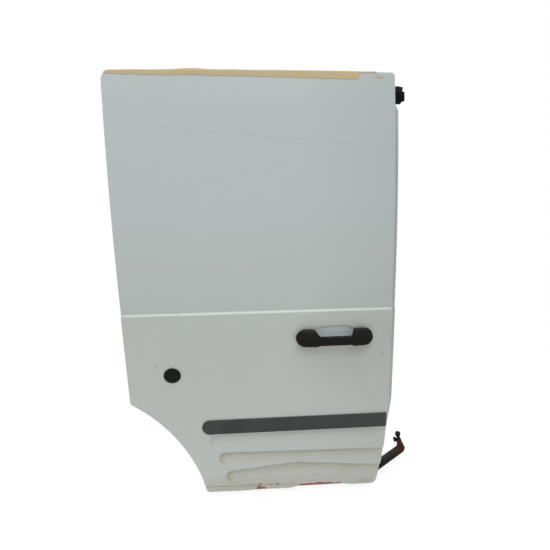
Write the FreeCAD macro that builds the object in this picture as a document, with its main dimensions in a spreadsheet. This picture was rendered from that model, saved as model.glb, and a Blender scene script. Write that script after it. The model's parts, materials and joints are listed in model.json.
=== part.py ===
import FreeCAD, Part
import os
import re
import Sketcher

# Sliding side door of a compact van, right-hand side, seen from outside with the front edge to the right.
# The door's own coordinates: x runs forward from the skin's front edge, y inward from the proudest line
# of the skin, z up from the bottom edge. The Placement of each piece then moves the origin to the flat
# face where the centre hinge is bolted.

SIZES = {
    # outline of the skin
    "door_height": 1280.0,
    "door_width": 812.0,
    "rear_lean": 25.0,
    "front_sweep": 22.0,
    "front_sweep_height": 350.0,
    "arch_radius": 451.0,
    "arch_back": 1024.0,
    "arch_drop": 53.0,
    "top_front_corner": 12.0,
    "top_rear_corner": 22.0,
    "bottom_corner": 14.0,
    # section of the skin
    "belly_height": 225.0,
    "tuck_depth": 26.0,
    "waist_height": 604.0,
    "waist_sag": 6.0,
    "ledge_depth": 5.0,
    "ledge_rise": 6.0,
    "top_inset": 75.0,
    "upper_radius": 4100.0,
    # sheet metal
    "sheet_metal": 1.6,
    "hem_width": 12.0,
    "seat_gap": 0.2,
    "hem_gap": 1.0,
    "overrun": 10.0,
    "weld_overlap": 2.0,
    # inner panel
    "inner_face": 70.0,
    "top_depth": 42.0,
    "shut_inset": 14.0,
    "panel_corner": 45.0,
    "front_margin": 80.0,
    "rear_margin": 78.0,
    "band_under": 24.0,
    "band_over": 86.0,
    "head_height": 95.0,
    "upper_hole_corner": 70.0,
    "access_height": 140.0,
    "access_margin": 12.0,
    "bridge_front": 345.0,
    "bridge_wide": 75.0,
    "well_rear": 520.0,
    "well_low": 95.0,
    "well_margin": 20.0,
    "sill_height": 55.0,
    "hole_flange": 9.0,
    "bead_wide": 18.0,
    "bead_rise": 4.0,
    "bead_end": 190.0,
    "bead_spacing": 40.0,
    "lip_reach": 19.0,
    "lip_depth": 30.0,
    "lip_low": 45.0,
    "lip_full": 300.0,
    "lip_drop": 65.0,
    "lip_chamfer": 40.0,
    # pressed flutes under the rub strip
    "flute_under": 6.0,
    "flute_pitch": 69.5,
    "flute_height": 48.0,
    "flute_depth": 6.0,
    "flute_run_out": 0.6,
    "flute_tip": 558.0,
    "flute_step": 22.5,
    # rub strip and plug
    "strip_under": 3.0,
    "strip_height": 47.0,
    "strip_tip": 578.0,
    "strip_front": 6.0,
    "strip_proud": 3.5,
    "plug_back": 658.0,
    "plug_drop": 185.0,
    "plug_size": 50.0,
    "plug_hole": 40.0,
    "plug_proud": 3.0,
    "plug_clear": 0.3,
    "plug_stem": 9.0,
    # pull handle
    "handle_front": 61.0,
    "handle_length": 230.0,
    "handle_drop": 105.0,
    "handle_height": 51.0,
    "bar_height": 27.5,
    "bar_lift": 5.0,
    "bar_crown": 620.0,
    "end_out": 20.0,
    "end_taper": 20.0,
    "finger_gap": 16.0,
    "shoulder_rear": 53.0,
    "shoulder_front": 55.0,
    "shoulder_slant": 14.0,
    "shoulder_steep": 5.0,
    "foot_slant": 12.0,
    "heel_relief": 4.0,
    "handle_ease": 3.5,
    "gasket_thick": 1.5,
    "gasket_gap": 0.8,
    "gasket_inset": 2.0,
    "gasket_reach": 50.0,
    "gasket_shift": 3.0,
    "cup_depth": 27.0,
    "cup_margin": 57.5,
    "cup_over": 5.0,
    "cup_under": 2.0,
    "cup_slope": 15.0,
    "cup_corner": 20.0,
    "cup_floor_corner": 9.0,
    "pivot_inset": 11.0,
    "pivot_depth": 16.0,
    "pivot_pin": 6.0,
    "leg_inset": 24.0,
    "leg_wide": 10.0,
    "leg_high": 16.0,
    "leg_past": 12.0,
    "front_leg_room": 4.0,
    "rear_leg_room": 5.0,
    "pin_clear": 0.05,
    "carrier_back": 38.0,
    "carrier_plate": 4.0,
    "carrier_high": 42.0,
    "carrier_gap": 2.0,
    "tower_half": 15.0,
    "way_clear": 0.5,
    # stiffeners behind the skin
    "beam_steel": 2.0,
    "beam_depth": 40.0,
    "beam_flange": 18.0,
    "beam_edge": 12.0,
    "beam_draft": 4.0,
    "beam_rear": 45.0,
    "beam_front": 30.0,
    "impact_drop": 45.0,
    "impact_inset": 26.0,
    "impact_tube": 30.0,
    "impact_wall": 2.0,
    "impact_tab": 60.0,
    "impact_tab_high": 44.0,
    "impact_reach": 80.0,
    "impact_fore_tab": 48.0,
    "impact_end": 40.0,
    "brace_drop": 300.0,
    "brace_high": 45.0,
    "brace_thick": 7.8,
    "brace_edge": 8.0,
    "brace_rear": 36.0,
    "brace_front": 24.0,
    # centre hinge pad on the inner face
    "hinge_inset": 52.0,
    "hinge_drop": 60.0,
    "hinge_rear": 25.0,
    "hinge_fore": 40.0,
    "hinge_tall": 110.0,
    "hinge_plate": 4.0,
    "hinge_corner": 8.0,
    "pad_rise": 2.0,
    "pad_margin": 6.0,
    "hinge_spacing": 60.0,
    "hinge_hole": 9.0,
    # lock control and rear latch
    "control_side": 4.0,
    "control_high": 100.0,
    "control_under": 20.0,
    "control_deep": 30.0,
    "control_plate": 3.0,
    "control_edge": 12.0,
    "spindle": 14.0,
    "spindle_out": 6.0,
    "rod_size": 6.0,
    "rod_over": 8.0,
    "rod_inset": 22.0,
    "rod_gap": 0.3,
    "latch_drop": 60.0,
    "latch_high": 55.0,
    "latch_rear": 38.0,
    "latch_fore": 36.0,
    "latch_deep": 52.0,
    "mouth_deep": 34.0,
    "mouth_drop": 10.0,
    "mouth_high": 15.0,
    "mouth_room": 13.0,
    "mouth_end": 20.0,
    "claw_back": 8.0,
    "claw_size": 30.0,
    "claw_thick": 6.0,
    "claw_slot": 12.0,
    "claw_rest": 0.3,
    # upper roller
    "upper_drop": 48.0,
    "upper_steel": 6.0,
    "upper_plate_long": 60.0,
    "upper_plate_high": 58.0,
    "upper_plate_over": 14.0,
    "upper_plate_back": 20.0,
    "block_back": 16.0,
    "block_wide": 27.5,
    "block_high": 35.0,
    "block_notch": 13.0,
    "upper_axis_out": 31.5,
    "upper_axis_in": 32.0,
    "upper_roller": 34.0,
    "upper_roller_high": 17.0,
    "upper_pin": 8.0,
    "pin_head": 2.0,
    "shelf_edge": 3.0,
    # lower arm and rollers
    "arm_low": 8.0,
    "arm_steel": 6.0,
    "arm_wide": 33.0,
    "foot_back": 112.0,
    "foot_fore": 45.0,
    "foot_high": 46.0,
    "arm_root_out": 3.0,
    "elbow_short": 16.5,
    "elbow_back": 96.0,
    "crook_short": 5.5,
    "crook_back": 79.0,
    "neck_short": 2.5,
    "neck_back": 41.0,
    "neck_wide": 20.0,
    "throat_short": 29.5,
    "throat_back": 62.0,
    "finger_out": 143.5,
    "finger_wide": 10.0,
    "finger_in": 263.0,
    "lug_set": 29.5,
    "lug_high": 13.0,
    "lug_under": 3.0,
    "guide_roller": 20.0,
    "guide_high": 12.0,
    "guide_pin": 6.0,
    "guide_set": 3.0,
    "support_roller": 13.0,
    "support_wide": 9.0,
    "support_pin": 5.0,
    "support_short": 21.5,
    "support_high": 10.0,
    "small_head": 2.0,
    "roller_gap": 1.0,
}

FORMULAS = {
    "rear_low": "door_width - rear_lean",
    "tuck_radius": "(belly_height^2 + tuck_depth^2) / (2 * tuck_depth)",
    "belly_rise": "waist_height - ledge_rise - belly_height",
    "belly_radius": "(belly_rise^2 + waist_sag^2) / (2 * waist_sag)",
    "upper_start": "waist_sag + ledge_depth",
    "inner_rise": "door_height - waist_height",
    "inner_swing": "top_inset + top_depth - inner_face",
    "inner_radius": "(inner_rise^2 + inner_swing^2) / (2 * inner_swing)",
    "section_back": "top_inset + top_depth + 10 * overrun",
    "flange_front": "sheet_metal + seat_gap",
    "flange_back": "flange_front + sheet_metal",
    "hem_back": "flange_back + seat_gap + sheet_metal",
    "panel_back": "inner_face - sheet_metal",
    "panel_seat": "panel_back - seat_gap",
    "pad_face": "inner_face + pad_rise",
    "pad_back": "pad_face - sheet_metal",
    "band_low": "waist_height - band_under",
    "band_high": "waist_height + band_over",
    "access_low": "band_low - access_height",
    "well_high": "access_low - sill_height",
    "bridge_rear": "bridge_front + bridge_wide",
    "lip_high": "door_height - lip_drop",
    "flute_top": "belly_height - flute_under",
    "flute_clear": "sheet_metal + 3 * seat_gap",
    "strip_low": "belly_height - strip_under",
    "plug_height": "waist_height - plug_drop",
    "plug_sag": "(plug_height - plug_size / 2 - belly_height)^2 / (2 * belly_radius)",
    "handle_low": "waist_height - handle_drop",
    "handle_top": "handle_low + handle_height",
    "handle_mid": "handle_low + handle_height / 2",
    "handle_round": "handle_height / 2",
    "handle_rear": "handle_front + handle_length",
    "handle_sag": "(handle_low - belly_height)^2 / (2 * belly_radius)",
    "handle_seat": "handle_sag - seat_gap - gasket_thick - gasket_gap",
    "bar_low": "handle_low + bar_lift",
    "bar_top": "bar_low + bar_height",
    "cup_top": "handle_top + cup_over",
    "cup_low": "handle_low - cup_under",
    "pivot_back": "handle_front + pivot_inset",
    "leg_back": "handle_rear - leg_inset",
    "carrier_low": "handle_mid - carrier_high / 2",
    "carrier_top": "handle_mid + carrier_high / 2",
    "tower_front": "handle_sag + sheet_metal + carrier_gap",
    "beam_face": "inner_face - beam_depth",
    "impact_high": "well_high - impact_drop",
    "impact_in": "inner_face - impact_inset",
    "hinge_back": "rear_low - hinge_inset",
    "hinge_height": "band_low - hinge_drop",
    "control_low": "access_low - control_under",
    "rod_height": "access_low + rod_over",
    "latch_top": "hinge_height - latch_drop",
    "latch_low": "latch_top - latch_high",
    "mouth_top": "latch_top - mouth_drop",
    "mouth_low": "mouth_top - mouth_high",
    "mouth_face": "inner_face - mouth_deep",
    "shelf_top": "door_height - upper_drop",
    "block_low": "shelf_top - block_high",
    "shelf_inner": "inner_face + (shelf_top - waist_height)^2 / (2 * inner_radius)",
    "upper_axis": "shelf_inner + upper_axis_in",
    "upper_foot": "shelf_top + roller_gap",
    "block_front": "block_back + block_wide",
    "shelf_out": "upper_axis_out + upper_roller / 2",
    "shelf_back": "upper_axis + upper_roller / 2 + shelf_edge",
    "arm_root": "inner_face + seat_gap",
    "arm_top": "arm_low + arm_steel",
    "elbow_out": "finger_out - elbow_short",
    "elbow_in": "finger_in - elbow_back",
    "crook_out": "finger_out - crook_short",
    "crook_in": "finger_in - crook_back",
    "neck_out": "finger_out - neck_short",
    "neck_in": "finger_in - neck_back",
    "throat_out": "finger_out - throat_short",
    "throat_in": "finger_in - throat_back",
    "lug_in": "finger_in - lug_set",
    "guide_in": "finger_in - guide_set",
    "support_out": "finger_out - support_short",
    "arm_run": "sqrt((elbow_out + arm_root_out)^2 + (elbow_in - arm_root)^2)",
    "arm_slope": "(elbow_out + arm_root_out) / (elbow_in - arm_root)",
    "arm_aside": "arm_wide * (elbow_in - arm_root) / arm_run",
    "arm_along": "arm_wide * (elbow_out + arm_root_out) / arm_run",
    "lug_back": "lug_in + arm_steel",
    "guide_out": "finger_out - finger_wide / 2",
    "guide_foot": "arm_top + roller_gap",
}

doc = FreeCAD.newDocument("van_sliding_door")
sheet = doc.addObject("Spreadsheet::Sheet", "dims")
for row, (alias, value) in enumerate(SIZES.items(), start=1):
    sheet.set(f"A{row}", alias)
    sheet.set(f"B{row}", str(value))
    sheet.setAlias(f"B{row}", alias)
for row, (alias, formula) in enumerate(FORMULAS.items(), start=len(SIZES) + 1):
    sheet.set(f"A{row}", alias)
    sheet.set(f"B{row}", "=" + formula)
    sheet.setAlias(f"B{row}", alias)
workings = doc.addObject("Spreadsheet::Sheet", "workings")
doc.recompute()
ALIASES = set(SIZES) | set(FORMULAS)


def bound(expression):
    """The expression with every alias pointing at the sheet."""
    def prefixed(match):
        word = match.group(0)
        return "dims." + word if word in ALIASES else word
    return re.sub(r"[A-Za-z_]+", prefixed, str(expression))


def number(expression):
    """The value of an expression, worked out in a sheet of its own so that nothing else is touched."""
    workings.set("A1", "=" + bound(expression))
    workings.recompute()
    return float(workings.get("A1"))


NORMALS = {"XY_Plane": 1, "XZ_Plane": -1, "YZ_Plane": 1}


def new_body(name):
    return doc.addObject("PartDesign::Body", name)


def new_sketch(body, role, start):
    """A sketch on one of the body's own planes, moved along the axis that the plane faces."""
    sketch = body.newObject("Sketcher::SketchObject", body.Name + "_sketch")
    plane = [feature for feature in body.Origin.OriginFeatures if feature.Role == role][0]
    sketch.AttachmentSupport = (plane, "")
    sketch.MapMode = "FlatFace"
    sign = "" if NORMALS[role] > 0 else "-1 * "
    sketch.setExpression("AttachmentOffset.Base.z", f"{sign}({bound(start)})")
    return sketch


def draw_circle(sketch, across, up, radius):
    centre = FreeCAD.Vector(number(across), number(up), 0)
    circle = Part.Circle(centre, FreeCAD.Vector(0, 0, 1), number(radius))
    index = sketch.addGeometry(circle, False)
    tie(sketch, Sketcher.Constraint("DistanceX", -1, 1, index, 3, centre.x), across)
    tie(sketch, Sketcher.Constraint("DistanceY", -1, 1, index, 3, centre.y), up)
    tie(sketch, Sketcher.Constraint("Radius", index, circle.Radius), radius)


def tie(sketch, constraint, expression):
    index = sketch.addConstraint(constraint)
    sketch.setExpression(f"Constraints[{index}]", bound(expression))


def draw_loop(sketch, path):
    """A closed loop. Each corner is (across, up), or (across, up, radius, turn) where an arc leads to it:
    turn is 1 for an arc that bends left and -1 for one that bends right."""
    corners = [FreeCAD.Vector(number(corner[0]), number(corner[1]), 0) for corner in path]
    first = sketch.GeometryCount
    ends = []
    for here, corner in enumerate(path):
        begin = corners[here - 1]
        end = corners[here]
        if len(corner) == 2:
            sketch.addGeometry(Part.LineSegment(begin, end), False)
            ends.append((1, 2))
        else:
            radius = number(corner[2])
            chord = end - begin
            left = FreeCAD.Vector(-chord.y, chord.x, 0).normalize() * corner[3]
            rise = max(radius ** 2 - (chord.Length / 2) ** 2, 0) ** 0.5
            centre = begin + chord * 0.5 + left * rise
            circle = Part.Circle(centre, FreeCAD.Vector(0, 0, 1), radius)
            low, high = (begin, end) if corner[3] > 0 else (end, begin)
            arc = Part.ArcOfCircle(circle, circle.parameter(low), circle.parameter(high))
            sketch.addGeometry(arc, False)
            ends.append((1, 2) if corner[3] > 0 else (2, 1))
    count = len(path)
    for here, corner in enumerate(path):
        edge = first + here
        following = first + (here + 1) % count
        sketch.addConstraint(
            Sketcher.Constraint("Coincident", edge, ends[here][1], following, ends[(here + 1) % count][0]))
        point = corners[here]
        tie(sketch, Sketcher.Constraint("DistanceX", -1, 1, edge, ends[here][1], point.x), corner[0])
        tie(sketch, Sketcher.Constraint("DistanceY", -1, 1, edge, ends[here][1], point.y), corner[1])
        if len(corner) > 2:
            tie(sketch, Sketcher.Constraint("Radius", edge, number(corner[2])), corner[2])


def feature(body, role, shapes, start, length, kind="PartDesign::Pad"):
    """Pads or pockets the shapes from start, along the plane's axis, over length."""
    sketch = new_sketch(body, role, start)
    for shape in shapes:
        if shape[0] == "circle":
            draw_circle(sketch, *shape[1:])
        else:
            draw_loop(sketch, shape)
    made = body.newObject(kind, body.Name + "_feature")
    made.Profile = sketch
    made.setExpression("Length", bound(length))
    forward = NORMALS[role] > 0
    made.Reversed = forward if kind == "PartDesign::Pocket" else not forward
    sketch.Visibility = False
    return made


def prism(name, role, shapes, start, length):
    body = new_body(name)
    feature(body, role, shapes, start, length)
    return body


def box(name, low, high):
    """A Part::Box between two corners given as expressions."""
    made = doc.addObject("Part::Box", name)
    for axis, side, begin, end in zip("xyz", ("Length", "Width", "Height"), low, high):
        made.setExpression("Placement.Base." + axis, bound(begin))
        made.setExpression(side, f"({bound(end)}) - ({bound(begin)})")
    return made


def rod(name, foot, axis, radius, length):
    """A Part::Cylinder that stands on foot along an axis."""
    made = doc.addObject("Part::Cylinder", name)
    made.Placement.Rotation = FreeCAD.Rotation(FreeCAD.Vector(0, 0, 1), FreeCAD.Vector(*axis))
    for letter, place in zip("xyz", foot):
        made.setExpression("Placement.Base." + letter, bound(place))
    made.setExpression("Radius", bound(radius))
    made.setExpression("Height", bound(length))
    return made


def cut(name, base, tool):
    made = doc.addObject("Part::Cut", name)
    made.Base = base
    made.Tool = tool
    return made


def common(name, base, tool):
    made = doc.addObject("Part::Common", name)
    made.Base = base
    made.Tool = tool
    return made


def fuse(name, *shapes):
    made = doc.addObject("Part::MultiFuse", name)
    made.Shapes = list(shapes)
    made.Refine = True
    return made


def rounded(left, low, right, high, radius):
    """A rectangle with rounded corners, as a loop."""
    return [
        (f"{right} - {radius}", low),
        (right, f"{low} + {radius}", radius, 1),
        (right, f"{high} - {radius}"),
        (f"{right} - {radius}", high, radius, 1),
        (f"{left} + {radius}", high),
        (left, f"{high} - {radius}", radius, 1),
        (left, f"{low} + {radius}"),
        (f"{left} + {radius}", low, radius, 1),
    ]


def round_ended(left, low, right, high):
    """A bar with a half-round left end and a square right end, as a loop."""
    half = f"(({high}) - ({low})) / 2"
    return [
        (right, low),
        (right, high),
        (f"{left} + {half}", high),
        (left, f"{low} + {half}", half, 1),
        (f"{left} + {half}", low, half, 1),
    ]


def rectangle(left, low, right, high):
    return [(right, low), (right, high), (left, high), (left, low)]


PIECES = []


def piece(label, shape):
    """Names a finished sub-part and moves it from door coordinates to the part's own frame."""
    shape.Label = label
    places = dict(shape.ExpressionEngine)
    for axis, shift in zip("xyz", ("dims.hinge_back", "-1 * dims.pad_face", "-1 * dims.hinge_height")):
        key = "Placement.Base." + axis
        own = places.get("." + key, places.get(key, "0"))
        shape.setExpression(key, f"({own}) + ({shift})")
    PIECES.append(shape)
    return shape


def skin_section(name, shift):
    """Everything behind the outer surface, or behind the same surface shifted inward."""
    path = [
        (f"tuck_depth + {shift}", "-overrun"),
        ("section_back", "-overrun"),
        ("section_back", "door_height + overrun"),
        (f"top_inset + {shift}", "door_height + overrun"),
        (f"top_inset + {shift}", "door_height"),
        (f"upper_start + {shift}", "waist_height", "upper_radius", 1),
        (f"waist_sag + {shift}", "waist_height - ledge_rise"),
        (f"{shift}", "belly_height", "belly_radius", 1),
        (f"tuck_depth + {shift}", "0", "tuck_radius", 1),
    ]
    return prism(name, "YZ_Plane", [path], "-door_width - overrun", "door_width + 10 * overrun")


def inner_section(name, shift):
    """Everything behind the inner face: upright to the waist, then leaning in with the skin."""
    path = [
        (f"inner_face + {shift}", "-overrun"),
        ("section_back + overrun", "-overrun"),
        ("section_back + overrun", "door_height + overrun"),
        (f"top_inset + top_depth + {shift}", "door_height + overrun"),
        (f"top_inset + top_depth + {shift}", "door_height"),
        (f"inner_face + {shift}", "waist_height", "inner_radius", 1),
    ]
    return prism(name, "YZ_Plane", [path], "-door_width - 2 * overrun", "door_width + 12 * overrun")


def outline(name, inset):
    """The door's outline, drawn in by an inset all round, as a prism through the whole depth."""
    inset = f"({inset})"
    ring = f"(arch_radius + {inset})"
    sweep_rise = f"(front_sweep_height - bottom_corner - {inset})"
    path = [
        (f"-front_sweep - bottom_corner - {inset}", inset),
        (f"-front_sweep - {inset}", f"bottom_corner + {inset}", "bottom_corner", 1),
        (f"-1 * {inset}", "front_sweep_height", f"({sweep_rise}^2 + front_sweep^2) / (2 * front_sweep)", 1),
        (f"-1 * {inset}", f"door_height - top_front_corner - {inset}"),
        (f"-top_front_corner - {inset}", f"door_height - {inset}", "top_front_corner", 1),
        (f"-door_width + top_rear_corner + {inset}", f"door_height - {inset}"),
        (f"-door_width + {inset}", f"door_height - top_rear_corner - {inset}", "top_rear_corner", 1),
        (f"-rear_low + {inset}",
         f"sqrt({ring}^2 - (arch_back - rear_low + {inset})^2) - arch_drop"),
        (f"sqrt({ring}^2 - (arch_drop + {inset})^2) - arch_back", inset, ring, -1),
    ]
    return prism(name, "XZ_Plane", [path], "-6 * overrun", "section_back + 7 * overrun")


# Outer skin: one pressed sheet whose edge is folded back as a hem around the inner panel's flange.
# Under the rub strip it carries three flutes that run off the front edge.
surface = skin_section("surface", "0")
sheet_back = skin_section("sheet_back", "sheet_metal")
hem_fold = skin_section("hem_fold", "flange_back + seat_gap")
hem_face = skin_section("hem_face", "hem_back")
past_hem = skin_section("past_hem", "hem_back + overrun")
skin_outline = outline("skin_outline", "0")
skin_blank = common("skin_blank", skin_outline, cut("skin_layer", surface, hem_face))
fold_outline = outline("fold_outline", "sheet_metal")
channel = common("channel", fold_outline, cut("channel_layer", sheet_back, hem_fold))
open_outline = outline("open_outline", "hem_width")
open_back = common("open_back", open_outline, cut("open_layer", sheet_back, past_hem))
hemmed = cut("hemmed", cut("hemmed_channel", skin_blank, channel), open_back)


def flute(name, place, grow, shift):
    """A scooped flute: deepest under its top edge, running out of the surface at its lower edge."""
    top = f"(flute_top - {place} * flute_pitch + {grow})"
    low = f"(flute_top - {place} * flute_pitch - flute_height)"
    at_top = f"((belly_height - {top})^2 / (2 * tuck_radius) + flute_depth + {shift})"
    at_low = f"((belly_height - {low})^2 / (2 * tuck_radius) - flute_run_out + {shift})"
    side = [("-2 * overrun", low), (at_low, low), (at_top, top), ("-2 * overrun", top)]
    wedge = prism(name + "_wedge", "YZ_Plane", [side], "-door_width", "door_width + 3 * overrun")
    front = round_ended(f"(-flute_tip + {place} * flute_step - {grow})", f"({low} - {grow})",
                        "2 * overrun", top)
    slot = prism(name + "_slot", "XZ_Plane", [front], "-3 * overrun", "10 * overrun")
    return common(name, wedge, slot)


FLUTES = range(3)
flutes = fuse("flutes", *[flute(f"flute_{place}", place, "0", "0") for place in FLUTES])
flute_backs = fuse("flute_backs", *[flute(f"flute_back_{place}", place, "sheet_metal", "sheet_metal")
                                    for place in FLUTES])
flute_walls = common("flute_walls", cut("flute_shells", flute_backs, flutes),
                     common("behind_skin", skin_outline, sheet_back))


def cup(name, grow):
    """The finger cup behind the handle's bar, with sloping sides."""
    body = new_body(name)
    mouth = new_sketch(body, "XZ_Plane", "-overrun")
    draw_loop(mouth, rounded(f"(-handle_rear + cup_margin - {grow})", f"(cup_low - {grow})",
                             f"(-handle_front - cup_margin + {grow})", f"(cup_top + {grow})", "cup_corner"))
    floor = new_sketch(body, "XZ_Plane", f"cup_depth + {grow}")
    draw_loop(floor, rounded(f"(-handle_rear + cup_margin + cup_slope - {grow})",
                             f"(cup_low + cup_slope - {grow})",
                             f"(-handle_front - cup_margin - cup_slope + {grow})",
                             f"(cup_top - cup_slope + {grow})", "cup_floor_corner"))
    loft = body.newObject("PartDesign::AdditiveLoft", name + "_loft")
    loft.Profile = mouth
    loft.Sections = [floor]
    loft.Ruled = True
    return body


finger_cup = cup("finger_cup", "0")
cup_back = cup("cup_back", "sheet_metal")
cup_walls = common("cup_walls", cut("cup_shell", cup_back, finger_cup), sheet_back)


def leg_hole(name, centre, room):
    """The hole in the skin that a leg of the handle passes through."""
    window = rectangle(f"-{centre} - leg_wide / 2 - {room}", f"handle_mid - leg_high / 2 - {room}",
                       f"-{centre} + leg_wide / 2 + {room}", f"handle_mid + leg_high / 2 + {room}")
    return prism(name, "XZ_Plane", [window], "-2 * overrun", "6 * overrun")


front_leg_hole = leg_hole("front_leg_hole", "pivot_back", "front_leg_room")
rear_leg_hole = leg_hole("rear_leg_hole", "leg_back", "rear_leg_room")
plug_bore = rod("plug_bore", ("-plug_back", "-2 * overrun", "plug_height"), (0, 1, 0),
                "plug_hole / 2", "5 * overrun")
skin_cuts = fuse("skin_cuts", front_leg_hole, rear_leg_hole, plug_bore, flutes, finger_cup)
piece("outer_skin", fuse("outer_skin", cut("pierced_skin", hemmed, skin_cuts), flute_walls, cup_walls))

# Inner panel: a deep tray whose flange sits in the skin's hem, with a large upper hole, two access holes
# beside the lock and a well below, all with turned edges. Two beads stiffen the waist, and a sealing lip
# stands forward of the skin's front edge.
flange_face = skin_section("flange_face", "flange_front")
flange_rear = skin_section("flange_rear", "flange_back")
inner_rear = inner_section("inner_rear", "0")
inner_near = inner_section("inner_near", "-sheet_metal")
tray_outline = outline("tray_outline", "shut_inset")
tray_inside = outline("tray_inside", "shut_inset + sheet_metal")
tray = common("tray", tray_outline, cut("tray_layer", flange_face, inner_rear))
tray_hollow = common("tray_hollow", tray_inside, cut("hollow_layer", surface, inner_near))
flange_outline = outline("flange_outline", "sheet_metal + hem_gap")
flange = common("flange", flange_outline, cut("flange_layer", flange_face, flange_rear))
lip_path = [
    ("-shut_inset - sheet_metal / 2", "lip_low"),
    ("-shut_inset + weld_overlap", "lip_low"),
    ("lip_reach", "lip_full"),
    ("lip_reach", "lip_high - lip_chamfer"),
    ("lip_reach - lip_chamfer / 2", "lip_high"),
    ("-shut_inset - sheet_metal / 2", "lip_high"),
]
lip_front = skin_section("lip_front", "lip_depth")
lip_rear = skin_section("lip_rear", "lip_depth + sheet_metal")
lip = common("lip", prism("lip_plate", "XZ_Plane", [lip_path], "0", "section_back"),
             cut("lip_layer", lip_front, lip_rear))


def holes(grow):
    """The panel's four holes as loops, grown all round."""
    corner = f"(panel_corner + {grow})"
    return [
        rounded(f"(-door_width + rear_margin - {grow})", f"(band_high - {grow})",
                f"(-front_margin + {grow})", f"(door_height - head_height + {grow})",
                f"(upper_hole_corner + {grow})"),
        rounded(f"(-bridge_front - {grow})", f"(access_low - {grow})",
                f"(-front_margin + {grow})", f"(band_low + {grow})", corner),
        rounded(f"(-hinge_back + hinge_fore + access_margin - {grow})", f"(access_low - {grow})",
                f"(-bridge_rear + {grow})", f"(band_low + {grow})", corner),
        rounded(f"(-well_rear - {grow})", f"(well_low - {grow})",
                f"(-front_margin - well_margin + {grow})", f"(well_high + {grow})", corner),
    ]


apertures = prism("apertures", "XZ_Plane", holes("0"), "inner_face / 2", "section_back")
turned_blank = prism("turned_blank", "XZ_Plane", holes("sheet_metal"), "inner_face / 2", "section_back")
turned_layer = cut("turned_layer", inner_section("turned_front", "-hole_flange"), inner_rear)
turned_edges = common("turned_edges", turned_blank, turned_layer)


def beads(name, inset, front, rear):
    """The two long beads across the waist, with pointed ends, or the hollows behind them."""
    loops = []
    for side in (-1, 1):
        middle = f"(band_low + band_high + {side} * bead_spacing) / 2"
        half = f"(bead_wide / 2 - {inset})"
        loops.append([
            ("-door_width + bead_end + bead_wide / 2", f"{middle} - {half}"),
            ("-bead_end - bead_wide / 2", f"{middle} - {half}"),
            (f"-bead_end - {inset}", middle),
            ("-bead_end - bead_wide / 2", f"{middle} + {half}"),
            ("-door_width + bead_end + bead_wide / 2", f"{middle} + {half}"),
            (f"-door_width + bead_end + {inset}", middle),
        ])
    bars = prism(name + "_bars", "XZ_Plane", loops, "inner_face / 2", "section_back")
    layer = cut(name + "_layer", inner_section(name + "_near", front), inner_section(name + "_far", rear))
    return common(name, bars, layer)


bead_shells = beads("bead_shells", "0", "-sheet_metal", "bead_rise")
bead_hollows = beads("bead_hollows", "sheet_metal", "-overrun", "bead_rise - sheet_metal")


def hinge_loop(margin):
    """The hinge plate's outline with cut corners, grown by a margin."""
    rear = f"-hinge_back - hinge_rear - {margin}"
    fore = f"-hinge_back + hinge_fore + {margin}"
    low = f"hinge_height - hinge_tall / 2 - {margin}"
    high = f"hinge_height + hinge_tall / 2 + {margin}"
    return [
        (f"{rear} + hinge_corner", low),
        (f"{fore} - hinge_corner", low),
        (fore, f"{low} + hinge_corner"),
        (fore, f"{high} - hinge_corner"),
        (f"{fore} - hinge_corner", high),
        (f"{rear} + hinge_corner", high),
        (rear, f"{high} - hinge_corner"),
        (rear, f"{low} + hinge_corner"),
    ]


def hinge_pad(name, margin, start, rise):
    """The raised pad round the hinge bolts, or the hollow behind it."""
    return prism(name, "XZ_Plane", [hinge_loop(margin)], start, rise)


pad_shell = hinge_pad("pad_shell", "pad_margin", "panel_back + seat_gap", "sheet_metal + pad_rise - seat_gap")
pad_hollow = hinge_pad("pad_hollow", "(pad_margin - sheet_metal)", "panel_back - overrun", "overrun + pad_rise")
HINGE_BORES = [("circle", "-hinge_back", "hinge_height - hinge_spacing / 2", "hinge_hole / 2"),
               ("circle", "-hinge_back", "hinge_height + hinge_spacing / 2", "hinge_hole / 2")]
hinge_holes = prism("hinge_holes", "XZ_Plane", HINGE_BORES, "inner_face - 2 * overrun", "4 * overrun")
flute_room = fuse("flute_room", *[flute(f"flute_room_{place}", place, "flute_clear", "flute_clear")
                                  for place in FLUTES])
latch_slot = box("latch_slot", ("-door_width", "mouth_face", "mouth_low"),
                 ("-door_width + 5 * overrun", "inner_face + overrun", "mouth_top + mouth_room"))
flange_gap = box("flange_gap", ("-front_sweep - 4 * overrun", "-overrun",
                                "flute_top - 2 * flute_pitch - flute_height"),
                 ("overrun", "5 * overrun", "flute_top + sheet_metal"))
flange_ring = cut("flange_ring", flange, fuse("flange_open", tray_inside, flange_gap))
panel_shell = fuse("panel_shell", cut("tray_shell", tray, tray_hollow), flange_ring, lip, pad_shell,
                   turned_edges, bead_shells)
panel_cuts = fuse("panel_cuts", apertures, flute_room, latch_slot, pad_hollow, bead_hollows)
piece("inner_panel", cut("inner_panel", cut("panel_open", panel_shell, panel_cuts), hinge_holes))

# Centre hinge plate: the tapped steel plate behind the panel that the centre hinge is bolted to.
hinge_plate = new_body("hinge_plate_body")
feature(hinge_plate, "XZ_Plane", [hinge_loop("0")] + HINGE_BORES,
        "pad_back - seat_gap - hinge_plate", "hinge_plate")
piece("centre_hinge_plate", hinge_plate)

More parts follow.
